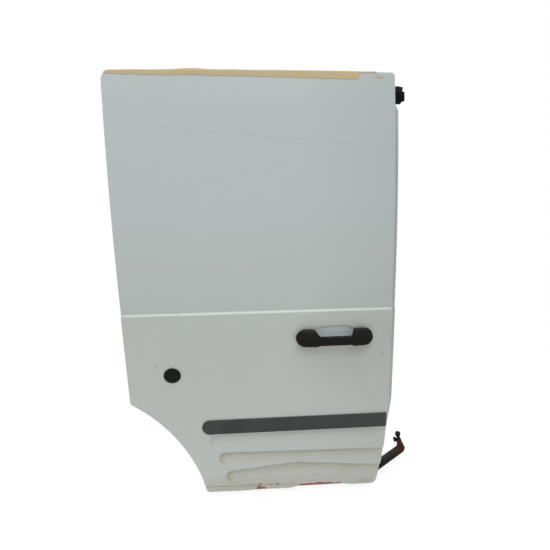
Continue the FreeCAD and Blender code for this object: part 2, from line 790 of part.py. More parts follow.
# Waist beam: a folded channel across the door behind the waist crease.
beam_foot = "panel_seat - beam_steel"
waist_beam = prism("waist_beam_body", "YZ_Plane", [[
    ("panel_seat", "band_low + beam_edge"),
    ("panel_seat", "band_low + beam_edge + beam_flange"),
    ("beam_face + beam_steel", "band_low + beam_edge + beam_flange + beam_draft"),
    ("beam_face + beam_steel", "band_high - beam_edge - beam_flange - beam_draft"),
    ("panel_seat", "band_high - beam_edge - beam_flange"),
    ("panel_seat", "band_high - beam_edge"),
    (beam_foot, "band_high - beam_edge"),
    (beam_foot, "band_high - beam_edge - beam_flange + beam_steel"),
    ("beam_face", "band_high - beam_edge - beam_flange - beam_draft + beam_steel"),
    ("beam_face", "band_low + beam_edge + beam_flange + beam_draft - beam_steel"),
    (beam_foot, "band_low + beam_edge + beam_flange - beam_steel"),
    (beam_foot, "band_low + beam_edge"),
]], "-door_width + beam_rear", "door_width - beam_rear - beam_front")
piece("waist_beam", waist_beam)

# Impact bar: a steel tube across the well, with flat tabs on the inner panel.
bar_start = "-well_rear - impact_reach"
bar_long = "well_rear + impact_reach - impact_end"
bar_outside = rod("bar_outside", (bar_start, "impact_in", "impact_high"), (1, 0, 0),
                  "impact_tube / 2", bar_long)
bar_inside = rod("bar_inside", (f"{bar_start} - overrun", "impact_in", "impact_high"), (1, 0, 0),
                 "impact_tube / 2 - impact_wall", f"{bar_long} + 2 * overrun")
tab_face = "impact_in + impact_tube / 2 - impact_wall / 4"
tab_low = "impact_high - impact_tab_high / 2"
tab_high = "impact_high + impact_tab_high / 2"
bar_tab_rear = box("bar_tab_rear", (bar_start, tab_face, tab_low),
                   (f"{bar_start} + impact_tab", "panel_seat", tab_high))
bar_tab_front = box("bar_tab_front", ("-impact_end - impact_fore_tab", tab_face, tab_low),
                    ("-impact_end", "panel_seat", tab_high))
piece("impact_bar", fuse("impact_bar", cut("bar_tube", bar_outside, bar_inside), bar_tab_rear, bar_tab_front))

# Skin brace: a shallow channel bonded across the back of the upper skin against drumming.
brace_front = skin_section("brace_front", "flange_front")
brace_low = "door_height - brace_drop - brace_high"
brace_band = box("brace_band", ("-door_width + brace_rear", "0", brace_low),
                 ("-brace_front", "section_back", "door_height - brace_drop"))
brace_layer = cut("brace_layer", brace_front, skin_section("brace_back", "flange_front + brace_thick"))
brace_blank = common("brace_blank", brace_band, brace_layer)
brace_core = box("brace_core", ("-door_width", "0", f"{brace_low} + brace_edge"),
                 ("overrun", "section_back", "door_height - brace_drop - brace_edge"))
core_layer = cut("core_layer", surface, skin_section("core_back", "flange_front + brace_thick - sheet_metal"))
brace_hollow = common("brace_hollow", brace_core, core_layer)
piece("skin_brace", cut("skin_brace", brace_blank, brace_hollow))

# Rub strip: a moulded strip on the belly of the skin, half-round at its rear end, with eased edges.
strip_slot = prism("strip_slot", "XZ_Plane",
                   [round_ended("(-strip_tip)", "strip_low", "-strip_front", "(strip_low + strip_height)")],
                   "-2 * overrun", "4 * overrun")
strip_layer = cut("strip_layer", skin_section("strip_front_face", "-strip_proud"),
                  skin_section("strip_back_face", "-seat_gap"))
piece("rub_strip", common("rub_strip", strip_slot, strip_layer))

# Blanking plug: a moulded cap pushed into the hole at the rear of the skin.
plug = new_body("plug_body")
feature(plug, "XZ_Plane", [("circle", "-plug_back", "plug_height", "plug_size / 2")],
        "plug_sag - seat_gap - plug_proud", "plug_proud")
feature(plug, "XZ_Plane", [("circle", "-plug_back", "plug_height", "plug_hole / 2 - plug_clear")],
        "plug_sag - seat_gap - plug_clear", "plug_stem")
piece("blanking_plug", plug)

# Pull handle: a moulded strap, broad at both ends, that swings out about a pin at its front end.
handle_front_view = prism("handle_front_view", "XZ_Plane", [[
    ("-handle_rear + handle_round", "handle_low", "handle_round", 1),
    ("-handle_rear + shoulder_rear + foot_slant / 2", "handle_low"),
    ("-handle_rear + shoulder_rear + 3 * foot_slant / 2", "bar_low"),
    ("-handle_front - shoulder_front - shoulder_steep", "bar_low"),
    ("-handle_front - shoulder_front", "handle_low"),
    ("-handle_front - handle_round", "handle_low"),
    ("-handle_front", "handle_mid", "handle_round", 1),
    ("-handle_front - handle_round", "handle_top", "handle_round", 1),
    ("-handle_front - shoulder_front", "handle_top"),
    ("-handle_front - shoulder_front - shoulder_steep", "bar_top"),
    ("-handle_rear + shoulder_rear + shoulder_slant", "bar_top"),
    ("-handle_rear + shoulder_rear", "handle_top"),
    ("-handle_rear + handle_round", "handle_top"),
    ("-handle_rear", "handle_mid", "handle_round", 1),
]], "-6 * overrun", "10 * overrun")
handle_top_view = prism("handle_top_view", "XY_Plane", [[
    ("-pivot_back", "handle_seat"),
    ("-handle_front - shoulder_front", "handle_seat"),
    ("-handle_front - shoulder_front - foot_slant", "-finger_gap"),
    ("-handle_rear + shoulder_rear + foot_slant", "-finger_gap"),
    ("-handle_rear + shoulder_rear", "handle_seat"),
    ("-handle_rear", "handle_seat"),
    ("-handle_rear", "-end_out / 2"),
    ("-handle_rear + end_taper", "-end_out"),
    ("-handle_front - end_taper", "-end_out", "bar_crown", 1),
    ("-handle_front", "-end_out / 2"),
    ("-handle_front", "handle_seat - heel_relief"),
]], "handle_low - overrun", "handle_height + 2 * overrun")
strap = new_body("handle_strap")
strap.BaseFeature = common("sharp_strap", handle_front_view, handle_top_view)
doc.recompute()
outer_rim = []
for place, edge in enumerate(strap.Tip.Shape.Edges, start=1):
    before_gap = edge.BoundBox.YMax < -number("finger_gap + weld_overlap")
    round_end = abs(edge.BoundBox.YMax + number("end_out / 2")) < number("pin_clear")
    if before_gap or round_end and edge.BoundBox.YMin < -number("finger_gap + weld_overlap"):
        outer_rim.append(f"Edge{place}")
strap_ease = strap.newObject("PartDesign::Chamfer", "strap_ease")
strap_ease.Base = (strap.Group[0], outer_rim)
strap_ease.setExpression("Size", bound("handle_ease"))
front_leg = box("front_leg",
                ("-pivot_back - leg_wide / 2", "handle_seat - weld_overlap", "handle_mid - leg_high / 2"),
                ("-pivot_back + leg_wide / 2", "pivot_depth + leg_wide / 2", "handle_mid + leg_high / 2"))
rear_leg = box("rear_leg",
               ("-leg_back - leg_wide / 2", "handle_seat - weld_overlap", "handle_mid - leg_high / 2"),
               ("-leg_back + leg_wide / 2", "carrier_back + carrier_plate + leg_past",
                "handle_mid + leg_high / 2"))
pivot_bore = rod("pivot_bore", ("-pivot_back", "pivot_depth", "handle_low - overrun"), (0, 0, 1),
                 "pivot_pin / 2 + pin_clear", "handle_height + 2 * overrun")
handle_solid = fuse("handle_solid", strap, front_leg, rear_leg)
piece("handle_grip", cut("handle_grip", handle_solid, pivot_bore))
piece("handle_pivot_pin", rod("handle_pivot_pin", ("-pivot_back", "pivot_depth", "carrier_low"), (0, 0, 1),
                              "pivot_pin / 2", "carrier_high"))

# Handle gaskets: thin rubber pads between the handle's ends and the skin.
gasket_layer = cut("gasket_layer", skin_section("gasket_front_face", "-gasket_thick - seat_gap"),
                   skin_section("gasket_back_face", "-seat_gap"))
gasket_round = "handle_round - gasket_inset"
gasket_low = "handle_low + gasket_inset"
gasket_top = "handle_top - gasket_inset"
front_gasket_pad = prism("front_gasket_pad", "XZ_Plane", [[
    ("-handle_front - gasket_shift - handle_round", gasket_low),
    ("-handle_front - gasket_shift - gasket_inset", "handle_mid", gasket_round, 1),
    ("-handle_front - gasket_shift - handle_round", gasket_top, gasket_round, 1),
    ("-handle_front - gasket_reach", gasket_top),
    ("-handle_front - gasket_reach", gasket_low),
]], "-2 * overrun", "4 * overrun")
rear_gasket_pad = prism("rear_gasket_pad", "XZ_Plane", [[
    ("-handle_rear + gasket_reach", gasket_low),
    ("-handle_rear + gasket_reach", gasket_top),
    ("-handle_rear + gasket_shift + handle_round", gasket_top),
    ("-handle_rear + gasket_shift + gasket_inset", "handle_mid", gasket_round, 1),
    ("-handle_rear + gasket_shift + handle_round", gasket_low, gasket_round, 1),
]], "-2 * overrun", "4 * overrun")
front_gasket = common("front_gasket_solid", front_gasket_pad, gasket_layer)
piece("handle_front_gasket", cut("handle_front_gasket", front_gasket, front_leg_hole))
rear_gasket = common("rear_gasket_solid", rear_gasket_pad, gasket_layer)
piece("handle_rear_gasket", cut("handle_rear_gasket", rear_gasket, rear_leg_hole))

# Handle carrier: the bracket behind the skin that holds the pivot pin and guides the pull leg.
carrier_plate = box("carrier_plate_box", ("-leg_back - tower_half", "carrier_back", "carrier_low"),
                    ("-pivot_back + tower_half", "carrier_back + carrier_plate", "carrier_top"))
front_tower = box("front_tower", ("-pivot_back - tower_half", "tower_front", "carrier_low"),
                  ("-pivot_back + tower_half", "carrier_back + weld_overlap", "carrier_top"))
rear_tower = box("rear_tower", ("-leg_back - tower_half", "tower_front", "carrier_low"),
                 ("-leg_back + tower_half", "carrier_back + weld_overlap", "carrier_top"))
front_way = box("front_way",
                ("-pivot_back - leg_wide / 2 - front_leg_room", "0", "handle_mid - leg_high / 2 - way_clear"),
                ("-pivot_back + leg_wide / 2 + front_leg_room", "carrier_back - carrier_plate",
                 "handle_mid + leg_high / 2 + way_clear"))
rear_way = box("rear_way",
               ("-leg_back - leg_wide / 2 - rear_leg_room", "0", "handle_mid - leg_high / 2 - rear_leg_room"),
               ("-leg_back + leg_wide / 2 + rear_leg_room", "carrier_back + 2 * overrun",
                "handle_mid + leg_high / 2 + rear_leg_room"))
pin_bore = rod("pin_bore", ("-pivot_back", "pivot_depth", "handle_low - overrun"), (0, 0, 1),
               "pivot_pin / 2", "handle_height + 2 * overrun")
carrier_solid = fuse("carrier_solid", carrier_plate, front_tower, rear_tower)
carrier_ways = fuse("carrier_ways", front_way, rear_way, pin_bore)
piece("handle_carrier", cut("handle_carrier", carrier_solid, carrier_ways))

# Lock control: a pressed housing on a plate on the panel's bridge, with the rod to the rear latch.
control_rear = "-bridge_rear + control_side"
control_front = "-bridge_front - control_side"
control_base = box("control_base", (control_rear, "panel_seat - control_plate", "control_low"),
                   (control_front, "panel_seat", "control_low + control_high"))
control_housing = box("control_housing",
                      (f"{control_rear} + control_edge", "panel_seat - control_deep",
                       "control_low + control_edge"),
                      (f"{control_front} - control_edge", "panel_seat - control_plate / 2",
                       "control_low + control_high - control_edge"))
spindle_boss = rod("spindle_boss",
                   ("-(bridge_front + bridge_rear) / 2", "panel_seat - control_deep - spindle_out",
                    "control_low + control_high - 3 * control_edge"), (0, 1, 0), "spindle / 2",
                   "spindle_out + weld_overlap")
piece("lock_control", fuse("lock_control", control_base, control_housing, spindle_boss))
rod_start = "-hinge_back + latch_fore + rod_gap"
rod_end = f"{control_rear} + control_edge - rod_gap"
piece("latch_rod", rod("latch_rod", (rod_start, "inner_face - rod_inset", "rod_height"), (1, 0, 0),
                       "rod_size / 2", f"{rod_end} - ({rod_start})"))

# Rear latch: a steel case on the rear shut face, with the claw that grips the pillar's striker.
case_solid = box("case_solid", ("-hinge_back - latch_rear", "inner_face - latch_deep", "latch_low"),
                 ("-hinge_back + latch_fore", "panel_seat", "latch_top"))
case_slot = box("case_slot", ("-hinge_back - 2 * latch_rear", "mouth_face", "mouth_low"),
                ("-hinge_back + mouth_end", "inner_face + overrun", "mouth_top"))
piece("rear_latch_case", cut("rear_latch_case", case_solid, case_slot))
claw_centre = ("-hinge_back - claw_back", "mouth_face + claw_rest + claw_size / 2")
claw_low = "(mouth_low + mouth_top - claw_thick) / 2"
claw_disc = rod("claw_disc", (*claw_centre, claw_low), (0, 0, 1), "claw_size / 2", "claw_thick")
claw_mouth = box("claw_mouth", ("-hinge_back - claw_back - claw_size", f"{claw_centre[1]} - claw_slot / 2",
                                "mouth_low"),
                 ("-hinge_back - claw_back + claw_slot / 4", f"{claw_centre[1]} + claw_slot / 2", "mouth_top"))
piece("latch_claw", cut("latch_claw", claw_disc, claw_mouth))

# Upper roller: a thick bracket on the inner face at the top front. It reaches forward as an upright block with
# a shelf bent inward, and a guide roller turns on an upright pin in the shelf.
plate_layer = cut("plate_layer", inner_section("plate_front", "seat_gap"),
                  inner_section("plate_rear", "upper_steel + seat_gap"))
upper_plate = box("upper_plate_box",
                  ("-upper_plate_back - upper_plate_long", "0",
                   "shelf_top + upper_plate_over - upper_plate_high"),
                  ("-upper_plate_back", "section_back", "shelf_top + upper_plate_over"))
upper_block = prism("upper_block", "XZ_Plane", [[
    ("-upper_plate_back - overrun", "block_low"),
    ("block_front - block_notch", "block_low"),
    ("block_front - 2 * block_notch / 3", "block_low + block_notch / 2"),
    ("block_front", "block_low + 2 * block_notch / 3"),
    ("block_front", "shelf_top"),
    ("-upper_plate_back - overrun", "shelf_top"),
]], "0", "section_back")
upper_sheet = common("upper_sheet", fuse("upper_blank", upper_plate, upper_block), plate_layer)
upper_shelf = prism("upper_shelf", "XY_Plane", [[
    ("block_back", "shelf_inner + seat_gap"),
    ("block_front", "shelf_inner + seat_gap"),
    ("shelf_out", "upper_axis - upper_roller / 4"),
    ("shelf_out", "shelf_back"),
    ("block_back", "shelf_back"),
]], "shelf_top - upper_steel", "upper_steel")
upper_bore = rod("upper_bore", ("upper_axis_out", "upper_axis", "shelf_top - 2 * overrun"), (0, 0, 1),
                 "upper_pin / 2", "4 * overrun")
upper_solid = fuse("upper_bracket_solid", upper_sheet, upper_shelf)
piece("upper_roller_bracket", cut("upper_roller_bracket", upper_solid, upper_bore))
upper_axle = ("circle", "upper_axis_out", "upper_axis")
upper_pin = new_body("upper_pin_body")
feature(upper_pin, "XY_Plane", [(*upper_axle, "upper_pin / 2")],
        "shelf_top - upper_steel", "upper_steel + 2 * roller_gap + upper_roller_high")
feature(upper_pin, "XY_Plane", [(*upper_axle, "upper_pin")],
        "upper_foot + upper_roller_high + roller_gap", "pin_head")
piece("upper_roller_pin", upper_pin)
upper_roller = new_body("upper_roller_body")
feature(upper_roller, "XY_Plane",
        [(*upper_axle, "upper_roller / 2"), (*upper_axle, "upper_pin / 2 + pin_clear")],
        "upper_foot", "upper_roller_high")
piece("upper_roller", upper_roller)

# Lower arm: a flat cranked plate from an upright foot on the inner face. Its neck narrows to a finger with an
# upright guide roller, and a lug on the neck carries the small support roller.
arm_plan = prism("arm_plan", "XY_Plane", [[
    ("-foot_back", "arm_root"),
    ("-arm_root_out", "arm_root"),
    ("elbow_out", "elbow_in"),
    ("crook_out", "crook_in"),
    ("neck_out", "neck_in"),
    ("finger_out", "lug_back"),
    ("finger_out", "finger_in"),
    ("guide_out", "finger_in + finger_wide / 2", "finger_wide / 2", 1),
    ("finger_out - finger_wide", "finger_in", "finger_wide / 2", 1),
    ("finger_out - finger_wide", "lug_back"),
    ("neck_out - neck_wide", "lug_back"),
    ("neck_out - neck_wide", "neck_in"),
    ("throat_out", "throat_in"),
    ("elbow_out - arm_aside", "elbow_in + arm_along"),
    ("elbow_out - arm_aside - (elbow_in + arm_along - arm_root - arm_steel) * arm_slope",
     "arm_root + arm_steel"),
    ("-foot_back", "arm_root + arm_steel"),
]], "arm_low", "arm_steel")
arm_foot = box("arm_foot", ("-foot_back", "arm_root", "arm_low"),
               ("-foot_fore", "arm_root + arm_steel", "arm_low + foot_high"))
support_lug = box("support_lug", ("support_out - support_roller / 2", "lug_in", "arm_low - lug_under"),
                  ("finger_out - finger_wide", "lug_back", "arm_low - lug_under + lug_high"))
guide_bore = rod("guide_bore", ("guide_out", "guide_in", "arm_low - overrun"), (0, 0, 1), "guide_pin / 2",
                 "3 * overrun")
support_bore = rod("support_bore", ("support_out", "lug_in - overrun", "support_high"), (0, 1, 0),
                   "support_pin / 2", "arm_steel + 2 * overrun")
arm_solid = fuse("arm_solid", arm_plan, arm_foot, support_lug)
piece("lower_arm", cut("lower_arm", arm_solid, fuse("arm_bores", guide_bore, support_bore)))
guide_axle = ("circle", "guide_out", "guide_in")
guide_pin = new_body("guide_pin_body")
feature(guide_pin, "XY_Plane", [(*guide_axle, "guide_pin / 2")], "arm_low",
        "arm_steel + 2 * roller_gap + guide_high")
feature(guide_pin, "XY_Plane", [(*guide_axle, "guide_pin / 2 + small_head")],
        "guide_foot + guide_high + roller_gap", "small_head")
piece("lower_guide_pin", guide_pin)
guide_roller = new_body("guide_roller_body")
feature(guide_roller, "XY_Plane",
        [(*guide_axle, "guide_roller / 2"), (*guide_axle, "guide_pin / 2 + pin_clear")],
        "guide_foot", "guide_high")
piece("lower_guide_roller", guide_roller)
support_axle = ("circle", "support_out", "support_high")
support_pin = new_body("support_pin_body")
feature(support_pin, "XZ_Plane", [(*support_axle, "support_pin / 2")], "lug_in",
        "arm_steel + 2 * roller_gap + support_wide")
feature(support_pin, "XZ_Plane", [(*support_axle, "support_pin / 2 + small_head")],
        "lug_back + 2 * roller_gap + support_wide", "small_head")
piece("lower_support_pin", support_pin)
support_roller = new_body("support_roller_body")
feature(support_roller, "XZ_Plane",
        [(*support_axle, "support_roller / 2"), (*support_axle, "support_pin / 2 + pin_clear")],
        "lug_back + roller_gap", "support_wide")
piece("lower_support_roller", support_roller)

doc.recompute()
for item in doc.Objects:
    if "Invalid" in item.State or "Error" in item.State:
        raise RuntimeError(f"{item.Label} did not build: {item.State}")
for item in PIECES:
    if item.Shape.isNull() or not item.Shape.isValid():
        raise RuntimeError(f"{item.Label} has no valid shape")

os.makedirs("parts", exist_ok=True)
for item in PIECES:
    item.Shape.exportStep(os.path.join("parts", item.Label + ".step"))
    size = item.Shape.BoundBox
    print(f"{item.Label}: {len(item.Shape.Solids)} solid, {item.Shape.Volume / 1000:.1f} cm3, "
          f"{size.XLength:.1f} x {size.YLength:.1f} x {size.ZLength:.1f} mm")
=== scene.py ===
import json
import math

import bmesh
import bpy
import numpy as np
from mathutils import Matrix, Vector

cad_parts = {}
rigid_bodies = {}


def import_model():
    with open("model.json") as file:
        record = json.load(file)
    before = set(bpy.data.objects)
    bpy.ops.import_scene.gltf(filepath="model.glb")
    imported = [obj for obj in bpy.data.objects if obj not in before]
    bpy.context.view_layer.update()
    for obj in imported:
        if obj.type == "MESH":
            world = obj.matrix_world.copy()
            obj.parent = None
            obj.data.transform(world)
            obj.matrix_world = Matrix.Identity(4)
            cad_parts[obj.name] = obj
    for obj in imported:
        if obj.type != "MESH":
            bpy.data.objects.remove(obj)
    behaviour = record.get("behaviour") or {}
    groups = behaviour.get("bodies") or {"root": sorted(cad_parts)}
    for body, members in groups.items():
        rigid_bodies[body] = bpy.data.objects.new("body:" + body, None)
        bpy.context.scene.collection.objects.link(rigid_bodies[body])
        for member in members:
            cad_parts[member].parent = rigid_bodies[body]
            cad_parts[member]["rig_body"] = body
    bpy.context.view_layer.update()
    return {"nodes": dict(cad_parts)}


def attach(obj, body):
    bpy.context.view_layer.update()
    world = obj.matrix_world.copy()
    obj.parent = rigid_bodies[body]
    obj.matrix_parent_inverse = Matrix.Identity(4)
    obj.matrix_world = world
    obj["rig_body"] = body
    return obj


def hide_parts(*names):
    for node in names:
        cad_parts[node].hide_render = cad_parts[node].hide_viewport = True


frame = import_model()

# Outer skin: one pressed steel sheet with a waist crease, a finger cup and three scooped flutes. Its edge is
# folded back as a hem round the inner panel. The lower panel has been knocked, filled and chipped down to
# red primer along the bottom fold.
SKIN_CORNER = np.array([735.0, -72.0, -520.0])
DOOR_HIGH = 1280.0
DOOR_WIDE = 812.0
CREASE = 604.0
FOLD = 2.6
HEM_WIDE = 12.0
SHEET_THICK = 1.1


def in_metres(points):
    """Points in the door's own millimetres, from the skin's front bottom corner, as metres from the hinge."""
    return (np.asarray(points, float) + SKIN_CORNER) / 1000


def ease(begin, end, value):
    """A smooth step from 0 at begin to 1 at end."""
    share = np.clip((np.asarray(value, float) - begin) / (end - begin), 0, 1)
    return share * share * (3 - 2 * share)


def hump(middle, half_width, value):
    """A bell that is 1 at the middle and dies away on both sides."""
    return np.exp(-(((np.asarray(value, float) - middle) / half_width) ** 2))


def arc_fall(radius, run):
    """How far an arc falls away from its tangent over a run."""
    return radius - np.sqrt(radius ** 2 - run ** 2)


def front_edge(height, inset):
    """Where the skin ends at the front: straight above, sweeping back below, with rounded corners."""
    sweep, sweep_top, low_corner, top_corner = 22.0, 350.0, 14.0, 9.0
    rise = sweep_top - low_corner - inset
    radius = (rise ** 2 + sweep ** 2) / (2 * sweep)
    edge = -inset - arc_fall(radius, np.clip(sweep_top - height, 0, rise))
    edge = edge - arc_fall(low_corner, np.clip(low_corner + inset - height, 0, low_corner))
    return edge - arc_fall(top_corner, np.clip(height - (DOOR_HIGH - inset - top_corner), 0, top_corner))


def rear_edge(height, inset):
    """Where the skin ends at the rear: a leaning edge over the cut-out for the wheel arch."""
    lean, top_corner, low_corner, arch_back, arch_drop = 25.0, 22.0, 11.0, 1024.0, 53.0
    ring = 451.0 + inset
    rear_low = DOOR_WIDE - lean
    meeting = math.sqrt(ring ** 2 - (arch_back - rear_low + inset) ** 2) - arch_drop
    share = np.clip((height - meeting) / (DOOR_HIGH - top_corner - inset - meeting), 0, 1)
    leaning = -rear_low - lean * share + inset
    arch = np.sqrt(ring ** 2 - (np.clip(height, 0, meeting) + arch_drop) ** 2) - arch_back
    edge = np.where(height < meeting, arch, leaning)
    edge = edge + arc_fall(low_corner, np.clip(inset + low_corner - height, 0, low_corner))
    return edge + arc_fall(top_corner, np.clip(height - (DOOR_HIGH - inset - top_corner), 0, top_corner))


FLUTE_HIGH = 48.0
FLUTE_DEEP = 9.0
FLUTE_TIPS = (-558.0, -533.0, -513.0)
FLUTE_TOPS = (219.0, 150.0, 80.0)


def flute_top(flute, across):
    """Top edge of a flute: the lowest one has been pushed up and rippled by a knock."""
    top = np.full_like(across, FLUTE_TOPS[flute])
    if flute == 1:
        top = top - 6 * np.clip((across + 280) / 250, -1, 1)
    if flute == 2:
        ripple = 1.5 * np.sin(across / 17.0) + 1.0 * np.sin(across / 7.3 + 1.0)
        top = top + 24 * hump(-285, 165, across) + ripple * hump(-265, 75, across)
    return top


def flute_reach(flute, across, height):
    """How far inside a flute's rim a point lies, and its share of the way from the lower rim to the top."""
    top = flute_top(flute, across)
    middle = top - FLUTE_HIGH / 2
    bend = FLUTE_TIPS[flute] + FLUTE_HIGH / 2
    round_end = FLUTE_HIGH / 2 - np.hypot(across - bend, height - middle)
    inside = np.where(across > bend, top - height, round_end)
    share = np.clip((height - top + FLUTE_HIGH) / FLUTE_HIGH, 0, 1)
    return np.where(share > 0, inside, -1), share


CUP_MIDDLE = (-175.5, 525.5)
CUP_HALF = (58.0, 28.0)
CUP_DEEP = 10.0


def cup_reach(across, height):
    """How far inside the rim of the finger cup a point lies. The top of the rim is slightly arched."""
    corner = 17.0
    arch = 2 * np.clip(1 - ((across - CUP_MIDDLE[0]) / CUP_HALF[0]) ** 2, 0, 1)
    out_x = np.abs(across - CUP_MIDDLE[0]) - (CUP_HALF[0] - corner)
    out_z = np.abs(height - arch * (height > CUP_MIDDLE[1]) - CUP_MIDDLE[1]) - (CUP_HALF[1] - corner)
    beyond = np.hypot(np.maximum(out_x, 0), np.maximum(out_z, 0))
    return corner - (beyond + np.minimum(np.maximum(out_x, out_z), 0))


def bottom_seam(across):
    """Height of the wavy seam along the bottom, where the fold has opened and begun to rust."""
    wave = 1.6 * np.sin(across / 37.0) + 1.0 * np.sin(across / 14.0 + 2.0)
    return 23 + wave - 6 * ease(-560, -400, across)


def skin_depth(across, height):
    """How far inward the outer surface lies, in millimetres from its proudest line."""
    belly, tuck, sag, waist = 225.0, 26.0, 6.0, 598.0
    upper_radius, upper_in, upper_high = 4100.0, 4110.6, 556.8
    tuck_radius = (belly ** 2 + tuck ** 2) / (2 * tuck)
    belly_radius = ((waist - belly) ** 2 + sag ** 2) / (2 * sag)
    below = arc_fall(tuck_radius, np.clip(belly - height, 0, belly))
    above = arc_fall(belly_radius, np.clip(height - belly, 0, 400))
    under = np.where(height < belly, below, above)
    over = upper_in - np.sqrt(upper_radius ** 2 - (np.clip(height, 590, DOOR_HIGH) - upper_high) ** 2)
    depth = under + (over - under) * ease(CREASE - 5.5, CREASE + 4.5, height)
    for flute in range(len(FLUTE_TIPS)):
        inside, share = flute_reach(flute, across, height)
        open_end = 1 - 0.45 * ease(-60, -8, across)
        depth = depth + FLUTE_DEEP * ease(-0.5, 6.5, inside) * share ** 1.25 * open_end
    scoop = 0.8 + 0.2 * ease(554, 508, height)
    depth = depth + CUP_DEEP * scoop * ease(-1.0, 7.0, cup_reach(across, height))
    drumming = np.sin(across / 118.0 + 0.6) * np.sin(height / 151.0 + 0.4)
    depth = depth + 0.35 * drumming * ease(0, 90, height) * ease(0, 90, DOOR_HIGH - height)
    knocks = np.sin(across / 21.0 + 0.7) * np.sin(height / 15.0) + 0.6 * np.sin(across / 11.0 + height / 9.0)
    depth = depth + 0.7 * knocks * hump(-265, 130, across) * hump(55, 38, height)
    opened = hump(0, 2.2, height - bottom_seam(across))
    return depth + 2.2 * opened * ease(-270, -340, across) * ease(-590, -560, across)


def crowned(across, height):
    """How far the sprung pressing drops below its straight top and bottom edges."""
    crown = 1.8 + 2.6 * ((across + 400) / 400) ** 2
    return crown * ease(1180, 1275, height) + 2.0 * ease(45, 5, height)


def spaced(*runs):
    """Grid lines from runs of (begin, end, step), each line once."""
    lines = [np.linspace(begin, end, max(1, round((end - begin) / step)) + 1) for begin, end, step in runs]
    return np.unique(np.round(np.concatenate(lines), 3))


def hold(name, vertices, faces):
    """A new mesh object at the origin, made of points in the door's own millimetres."""
    mesh = bpy.data.meshes.new(name)
    mesh.from_pydata([tuple(point) for point in in_metres(vertices)], [], faces)
    made = bpy.data.objects.new(name, mesh)
    bpy.context.scene.collection.objects.link(made)
    return made


def settle(made, angle):
    """Turns an object's modifiers into a plain mesh, shaded smooth below an angle."""
    bpy.context.view_layer.update()
    seen = made.evaluated_get(bpy.context.evaluated_depsgraph_get())
    mesh = bpy.data.meshes.new_from_object(seen)
    made.modifiers.clear()
    made.data = mesh
    mesh.shade_smooth()
    mesh.set_sharp_from_angle(angle=math.radians(angle))
    return made


# The grid is fine where the sheet bends sharply or carries dirt, and coarse on the plain panels. It leaves
# holes for the handle's two legs, given as rear, bottom, front and top, and for the plug.
columns = spaced((-812, -790, 5), (-790, -690, 12), (-690, -626, 4), (-626, -570, 7), (-570, -480, 3.8),
                 (-480, -300, 7), (-300, -277, 5), (-277, -257, 5), (-257, -237, 4), (-237, -114, 3.4),
                 (-114, -81, 4), (-81, -63, 4.5), (-63, 0, 4.5))
rows = spaced((FOLD, 60, 1.7), (60, 224, 1.95), (224, 392, 9), (392, 446, 4), (446, 484, 6),
              (484, 511.5, 2.2), (511.5, 512.5, 1), (512.5, 536.5, 3), (536.5, 537.5, 1), (537.5, 562, 2.1),
              (562, 592, 6), (592, 613, 1.05), (613, 632, 5), (632, 1240, 19), (1240, 1274, 3),
              (1274, DOOR_HIGH - FOLD, 0.85))
leg_gaps = ((-81, 512.5, -63, 536.5), (-277, 511.5, -257, 537.5))
PLUG_AT = np.array([-658.0, 419.0])
PLUG_HOLE = 20.0
RIM_CATCH = 2.2
known = {}
flat_points = []
skin_cells = []


def grid_point(across, height):
    """The number of a grid point, made once. Points close to the plug's hole are drawn onto its rim."""
    arm = np.array([across, height]) - PLUG_AT
    if abs(np.hypot(*arm) - PLUG_HOLE) < RIM_CATCH:
        across, height = PLUG_AT + arm * PLUG_HOLE / np.hypot(*arm)
    key = (round(float(across), 2), round(float(height), 2))
    if key not in known:
        known[key] = len(flat_points)
        flat_points.append(key)
    return known[key]


grid = [[grid_point(min(max(across, rear), front), height) for across in columns]
        for height, rear, front in zip(rows, rear_edge(rows, FOLD), front_edge(rows, FOLD))]
for lower, upper in zip(grid, grid[1:]):
    for step in range(len(columns) - 1):
        ring = list(dict.fromkeys((lower[step], lower[step + 1], upper[step + 1], upper[step])))
        if len(ring) < 3:
            continue
        corners = np.array([flat_points[index] for index in ring])
        middle = corners.mean(axis=0)
        in_leg = any(x0 < middle[0] < x1 and z0 < middle[1] < z1 for x0, z0, x1, z1 in leg_gaps)
        in_plug = all(np.hypot(*(corner - PLUG_AT)) <= PLUG_HOLE + 0.05 for corner in corners)
        if not in_leg and not in_plug:
            skin_cells.append(ring)
front_side = [line[-1] for line in grid]
rear_side = [line[0] for line in grid[::-1]]
edge_ring = list(dict.fromkeys(front_side + grid[-1][::-1] + rear_side + grid[0]))
flat_points = np.array(flat_points)
edge_flat = flat_points[edge_ring]
edge_run = np.roll(edge_flat, -1, 0) - np.roll(edge_flat, 1, 0)
outward = np.c_[edge_run[:, 1], -edge_run[:, 0]] / np.linalg.norm(edge_run, axis=1)[:, None]
hem_turns = np.radians(np.arange(30, 181, 30))
hem_profile = [(FOLD * math.sin(turn), FOLD * (1 - math.cos(turn))) for turn in hem_turns]
hem_profile += [(-HEM_WIDE / 3, 2 * FOLD), (FOLD - HEM_WIDE, 2 * FOLD)]
skin_blocks = [np.c_[flat_points[:, 0], skin_depth(*flat_points.T), flat_points[:, 1]]]
edge_depth = skin_depth(*edge_flat.T)
previous = edge_ring
for out, back in hem_profile:
    first = sum(len(block) for block in skin_blocks)
    moved = edge_flat + outward * out
    skin_blocks.append(np.c_[moved[:, 0], edge_depth + back, moved[:, 1]])
    fresh = list(range(first, first + len(edge_ring)))
    for step in range(len(edge_ring)):
        after = (step + 1) % len(edge_ring)
        skin_cells.append((previous[step], fresh[step], fresh[after], previous[after]))
    previous = fresh
skin_points = np.concatenate(skin_blocks)
face_x = skin_points[:, 0]
face_z = skin_points[:, 2]
chip_lift = 5.5 * ease(-310, -270, face_x) * ease(-95, -150, face_x)
